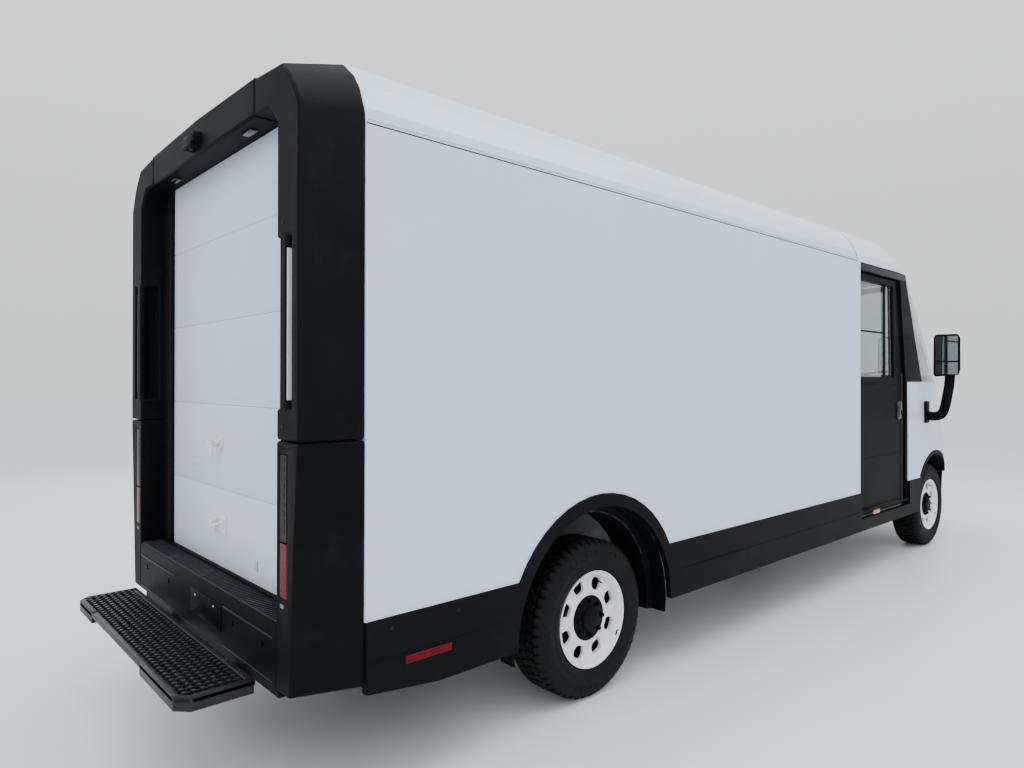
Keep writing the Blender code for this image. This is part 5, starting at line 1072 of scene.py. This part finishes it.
def crease(bm, lines, depth, width):
    """Presses sewn channels into a pad. Each line is (axis letter, value, other axis range)."""
    for v in bm.verts:
        for axis, value, low, high, inwards in lines:
            along = {"x": v.co.x, "y": v.co.y, "z": v.co.z}
            if any(not lo <= along[k] <= hi for k, (lo, hi) in zip(low, high)):
                continue
            share = max(0.0, 1 - abs(along[axis] - value) / width)
            v.co += Vector(inwards) * depth * share * share * (3 - 2 * share)


cushion = rounded((1.400, 0.232, 1.012), (1.872, 0.668, 1.092), 0.030, 4)
cushion = swell(cushion, "cushion", 0.010, 0.022, lambda co: co.z < 1.018)
for v in cushion.verts:
    if v.co.z > 1.05:
        bolster = max(0.0, abs(v.co.y - 0.45) - 0.125) / 0.09
        v.co.z += 0.018 * min(bolster, 1.0) ** 2 * min(1.0, (1.872 - v.co.x) / 0.08)
crease(cushion, [("y", 0.325, ("x", "z"), ((1.44, 1.84), (1.05, 1.20)), (0, 0, -1)),
                 ("y", 0.575, ("x", "z"), ((1.44, 1.84), (1.05, 1.20)), (0, 0, -1)),
                 ("x", 1.640, ("y", "z"), ((0.325, 0.575), (1.05, 1.20)), (0, 0, -1))], 0.008, 0.013)
cushion = piece("seat_cushion", cushion, seat_cloth, stands_for=("seat_pad",), angle=60)
back = rounded((-0.045, -0.212, 0.0), (0.040, 0.212, 0.520), 0.030, 4)
lean = move(1.418, 0.450, 1.085) @ spun(math.radians(-10.5))
back = swell(back, "back", 0.010, 0.022, lambda co: co.x < -0.038)
for v in back.verts:
    if v.co.x > 0.0:
        bolster = max(0.0, abs(v.co.y) - 0.120) / 0.09
        v.co.x += 0.016 * min(bolster, 1.0) ** 2
crease(back, [("y", -0.122, ("x", "z"), ((0.0, 0.2), (0.06, 0.47)), (-1, 0, 0)),
              ("y", 0.122, ("x", "z"), ((0.0, 0.2), (0.06, 0.47)), (-1, 0, 0)),
              ("z", 0.190, ("x", "y"), ((0.0, 0.2), (-0.122, 0.122)), (-1, 0, 0)),
              ("z", 0.340, ("x", "y"), ((0.0, 0.2), (-0.122, 0.122)), (-1, 0, 0))], 0.008, 0.013)
back = piece("seat_back_cushion", [(back, lean)], seat_cloth, angle=60)
head = swell(rounded((-0.035, -0.115, 0.0), (0.030, 0.115, 0.150), 0.028, 4), "head", 0.008, 0.016,
             lambda co: co.z < 0.006)
rest_at = lean @ move(-0.004, 0, 0.585)
head = piece("seat_head_restraint", [(head, rest_at)], seat_cloth, angle=60)
posts = [(tube([(0, y, -0.075), (0, y, 0.0), (0, y, 0.030)], 0.0055), rest_at) for y in (-0.050, 0.050)]
shell_back = rounded((-0.055, -0.200, 0.010), (-0.044, 0.200, 0.500), 0.005, 2)
posts.append((shell_back, lean))
piece("seat_back_shell_and_posts", posts, cab_trim)
reel = [rounded((1.0905, 0.700, 0.700), (1.130, 0.780, 0.820), 0.008, 2),
        prism([(0.7180, 0.815), (0.7620, 0.815), (0.7620, 1.980), (0.7180, 1.980)],
              1.0925, 1.0950, "x", 0.0006, 1),
        rounded((1.0905, 0.700, 1.960), (1.108, 0.780, 2.020), 0.006, 2)]
piece("seat_belt_on_bulkhead", reel, seal_rubber, slot="seat_fabric")

# ---------------------------------------------------------------- bulkhead
dress("bulkhead", white_paint)
dress("bulkhead_door", white_paint, "bulkhead_door_body", finish=0.003)
ribs = []
for y in (-0.30, 0.06):
    ribs.append(rounded((1.0285, y - 0.012, 0.80), (1.0325, y + 0.012, 2.10), 0.0018, 1))
piece("bulkhead_door_ribs", ribs, white_paint, "bulkhead_door_body")
pane = [rounded((1.0275, -0.270, 1.480), (1.0330, 0.030, 1.900), 0.0022, 2)]
piece("bulkhead_door_window", pane, screen_glass, "bulkhead_door_body", "cab_glass")
latch = [rounded((1.0285, -0.425, 1.180), (1.0338, -0.365, 1.340), 0.002, 2)]
piece("bulkhead_door_latch", latch, satin_black, "bulkhead_door_body")

# ---------------------------------------------------------------- underneath
dress("chassis_frame", chassis_steel)
dress("front_axle", chassis_steel, finish=0.004)
dress("rear_axle", cast_aluminium, finish=0.004)
dress("battery_pack", cast_aluminium, finish=0.012)
for side_name, side in SIDES:
    dress(f"knuckle_{side_name}", chassis_steel, f"steering_knuckle_{side_name}",
          finish=0.004)
battery_low, battery_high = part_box("battery_pack")
tray = []
strap = rounded((-0.020, battery_low.y, 0.2460), (0.020, battery_high.y, 0.2520), 0.002, 1)
tray.append((strap, [move(x=battery_low.x + 0.20 + 0.48 * k) for k in range(7)]))
bolt = disc(0.010, 0.008, 6, 0.010, 0.001)
tray.append((bolt, [move(battery_low.x + 0.20 + 0.48 * k, y, 0.2465) @ spun(math.pi, "X")
                    for k in range(7) for y in (-0.50, -0.25, 0.0, 0.25, 0.50)]))
piece("battery_tray_straps_and_bolts", tray, chassis_steel)
side_fins = []
for side in (1, -1):
    fin = rounded((battery_low.x + 0.05, side * 0.556, -0.003), (battery_high.x - 0.05, side * 0.568, 0.003),
                  0.001, 1)
    side_fins.append((fin, [move(z=0.280 + 0.022 * k) for k in range(7)]))
piece("battery_side_fins", side_fins, cast_aluminium)
pipes = []
for side in (1, -1):
    pipes.append(tube([(-2.9, side * 0.452, 0.50), (-1.5, side * 0.452, 0.52), (0.2, side * 0.452, 0.50),
                        (1.8, side * 0.452, 0.52), (2.2, side * 0.452, 0.50)], 0.0065))
    pipes.append(tube([(-2.6, side * 0.470, 0.555), (-1.0, side * 0.470, 0.56), (0.6, side * 0.470, 0.555),
                        (2.2, side * 0.470, 0.56)], 0.009))
    clip = rounded((-0.010, side * 0.438, 0.488), (0.010, side * 0.482, 0.572), 0.003, 1)
    pipes.append((clip, [move(x=-2.5 + 0.60 * k) for k in range(8)]))
piece("brake_pipes_and_cable_conduits", pipes, seal_rubber, slot="chassis_steel")
springs = []
for side in (1, -1):
    for k, half_span in enumerate((0.62, 0.50, 0.36)):
        end_z, mid_z, low_z = 0.437 - 0.004 * k, 0.427 - 0.010 * k, 0.424 - 0.012 * k
        bar = tube([(REAR_AXLE_X + along * half_span, side * 0.40, z) for along, z in
                    ((-1, end_z), (-0.5, mid_z), (0, low_z), (0.5, mid_z), (1, end_z))], 0.0055)
        bmesh.ops.scale(bar, vec=(1, 5.0, 1), space=move(0, -side * 0.40, 0), verts=bar.verts)
        springs.append(bar)
piece("rear_leaf_springs", springs, chassis_steel)

# ---------------------------------------------------------------- camera
scene = bpy.context.scene
camera_data = bpy.data.cameras.new("camera")
camera = bpy.data.objects.new("camera", camera_data)
scene.collection.objects.link(camera)
camera_data.sensor_width = 36.0
camera_data.lens = 24.83
camera_data.shift_y = -0.0053
yaw, pitch, roll = 0.8316, 0.0032, 0.0012
forward = Vector((math.cos(yaw) * math.cos(pitch), math.sin(yaw) * math.cos(pitch), math.sin(pitch)))
across = Vector((math.sin(yaw), -math.cos(yaw), 0.0))
upwards = across.cross(forward)
place = Matrix.Identity(4)
place.col[0][:3] = across * math.cos(roll) + upwards * math.sin(roll)
place.col[1][:3] = upwards * math.cos(roll) - across * math.sin(roll)
place.col[2][:3] = -forward
place.col[3][:3] = (REAR_AXLE_X - 2.5343, -3.1636, 1.4962)
camera.matrix_world = place
scene.camera = camera

# ---------------------------------------------------------------- floor and light
# Honed pale concrete floor of a studio: light grey with broad soft cloudiness and a dull shine.
floor_finish = surface("honed_pale_studio_floor", None, "#e4e6e9", "#d9dcdf", (0.30, 0.45), 0.35, 1.4, 6.0)
ground = bmesh.new()
bmesh.ops.create_grid(ground, x_segments=1, y_segments=1, size=60.0)
mesh = bpy.data.meshes.new("floor")
ground.to_mesh(mesh)
ground.free()
mesh.materials.append(floor_finish)
floor = bpy.data.objects.new("floor", mesh)
scene.collection.objects.link(floor)

world = bpy.data.worlds.new("studio")
scene.world = world
world.use_nodes = True
sky = world.node_tree
background = sky.nodes["Background"]
place_in_sky = add(sky, "ShaderNodeTexCoord")
height = add(sky, "ShaderNodeSeparateXYZ", {"Vector": place_in_sky.outputs["Generated"]})
level = add(sky, "ShaderNodeMapRange", {"Value": height.outputs["Z"], "From Min": -0.1, "From Max": 0.6})
tint = add(sky, "ShaderNodeMix", {0: level.outputs["Result"], 6: linear("#dadcdf"), 7: linear("#f8f9fb")},
           data_type="RGBA")
sky.links.new(tint.outputs[2], background.inputs["Color"])
background.inputs["Strength"].default_value = 1.45


def soft_light(name, spot, aim, wide, tall, power):
    """A studio soft box at spot, turned to aim."""
    data = bpy.data.lights.new(name, "AREA")
    data.shape = "RECTANGLE"
    data.size, data.size_y = wide, tall
    data.energy = power
    lamp = bpy.data.objects.new(name, data)
    scene.collection.objects.link(lamp)
    turned = (Vector(aim) - Vector(spot)).to_track_quat("-Z", "Y")
    lamp.matrix_world = Matrix.Translation(spot) @ turned.to_matrix().to_4x4()


soft_light("overhead", (-0.5, -2.0, 8.5), (0, 0, 0.5), 12.0, 6.0, 700.0)
soft_light("rear_right", (-8.5, -6.5, 5.0), (-2.0, 0, 1.2), 6.0, 5.0, 160.0)
soft_light("left_fill", (1.0, 9.0, 5.0), (0, 0, 1.2), 9.0, 4.0, 200.0)
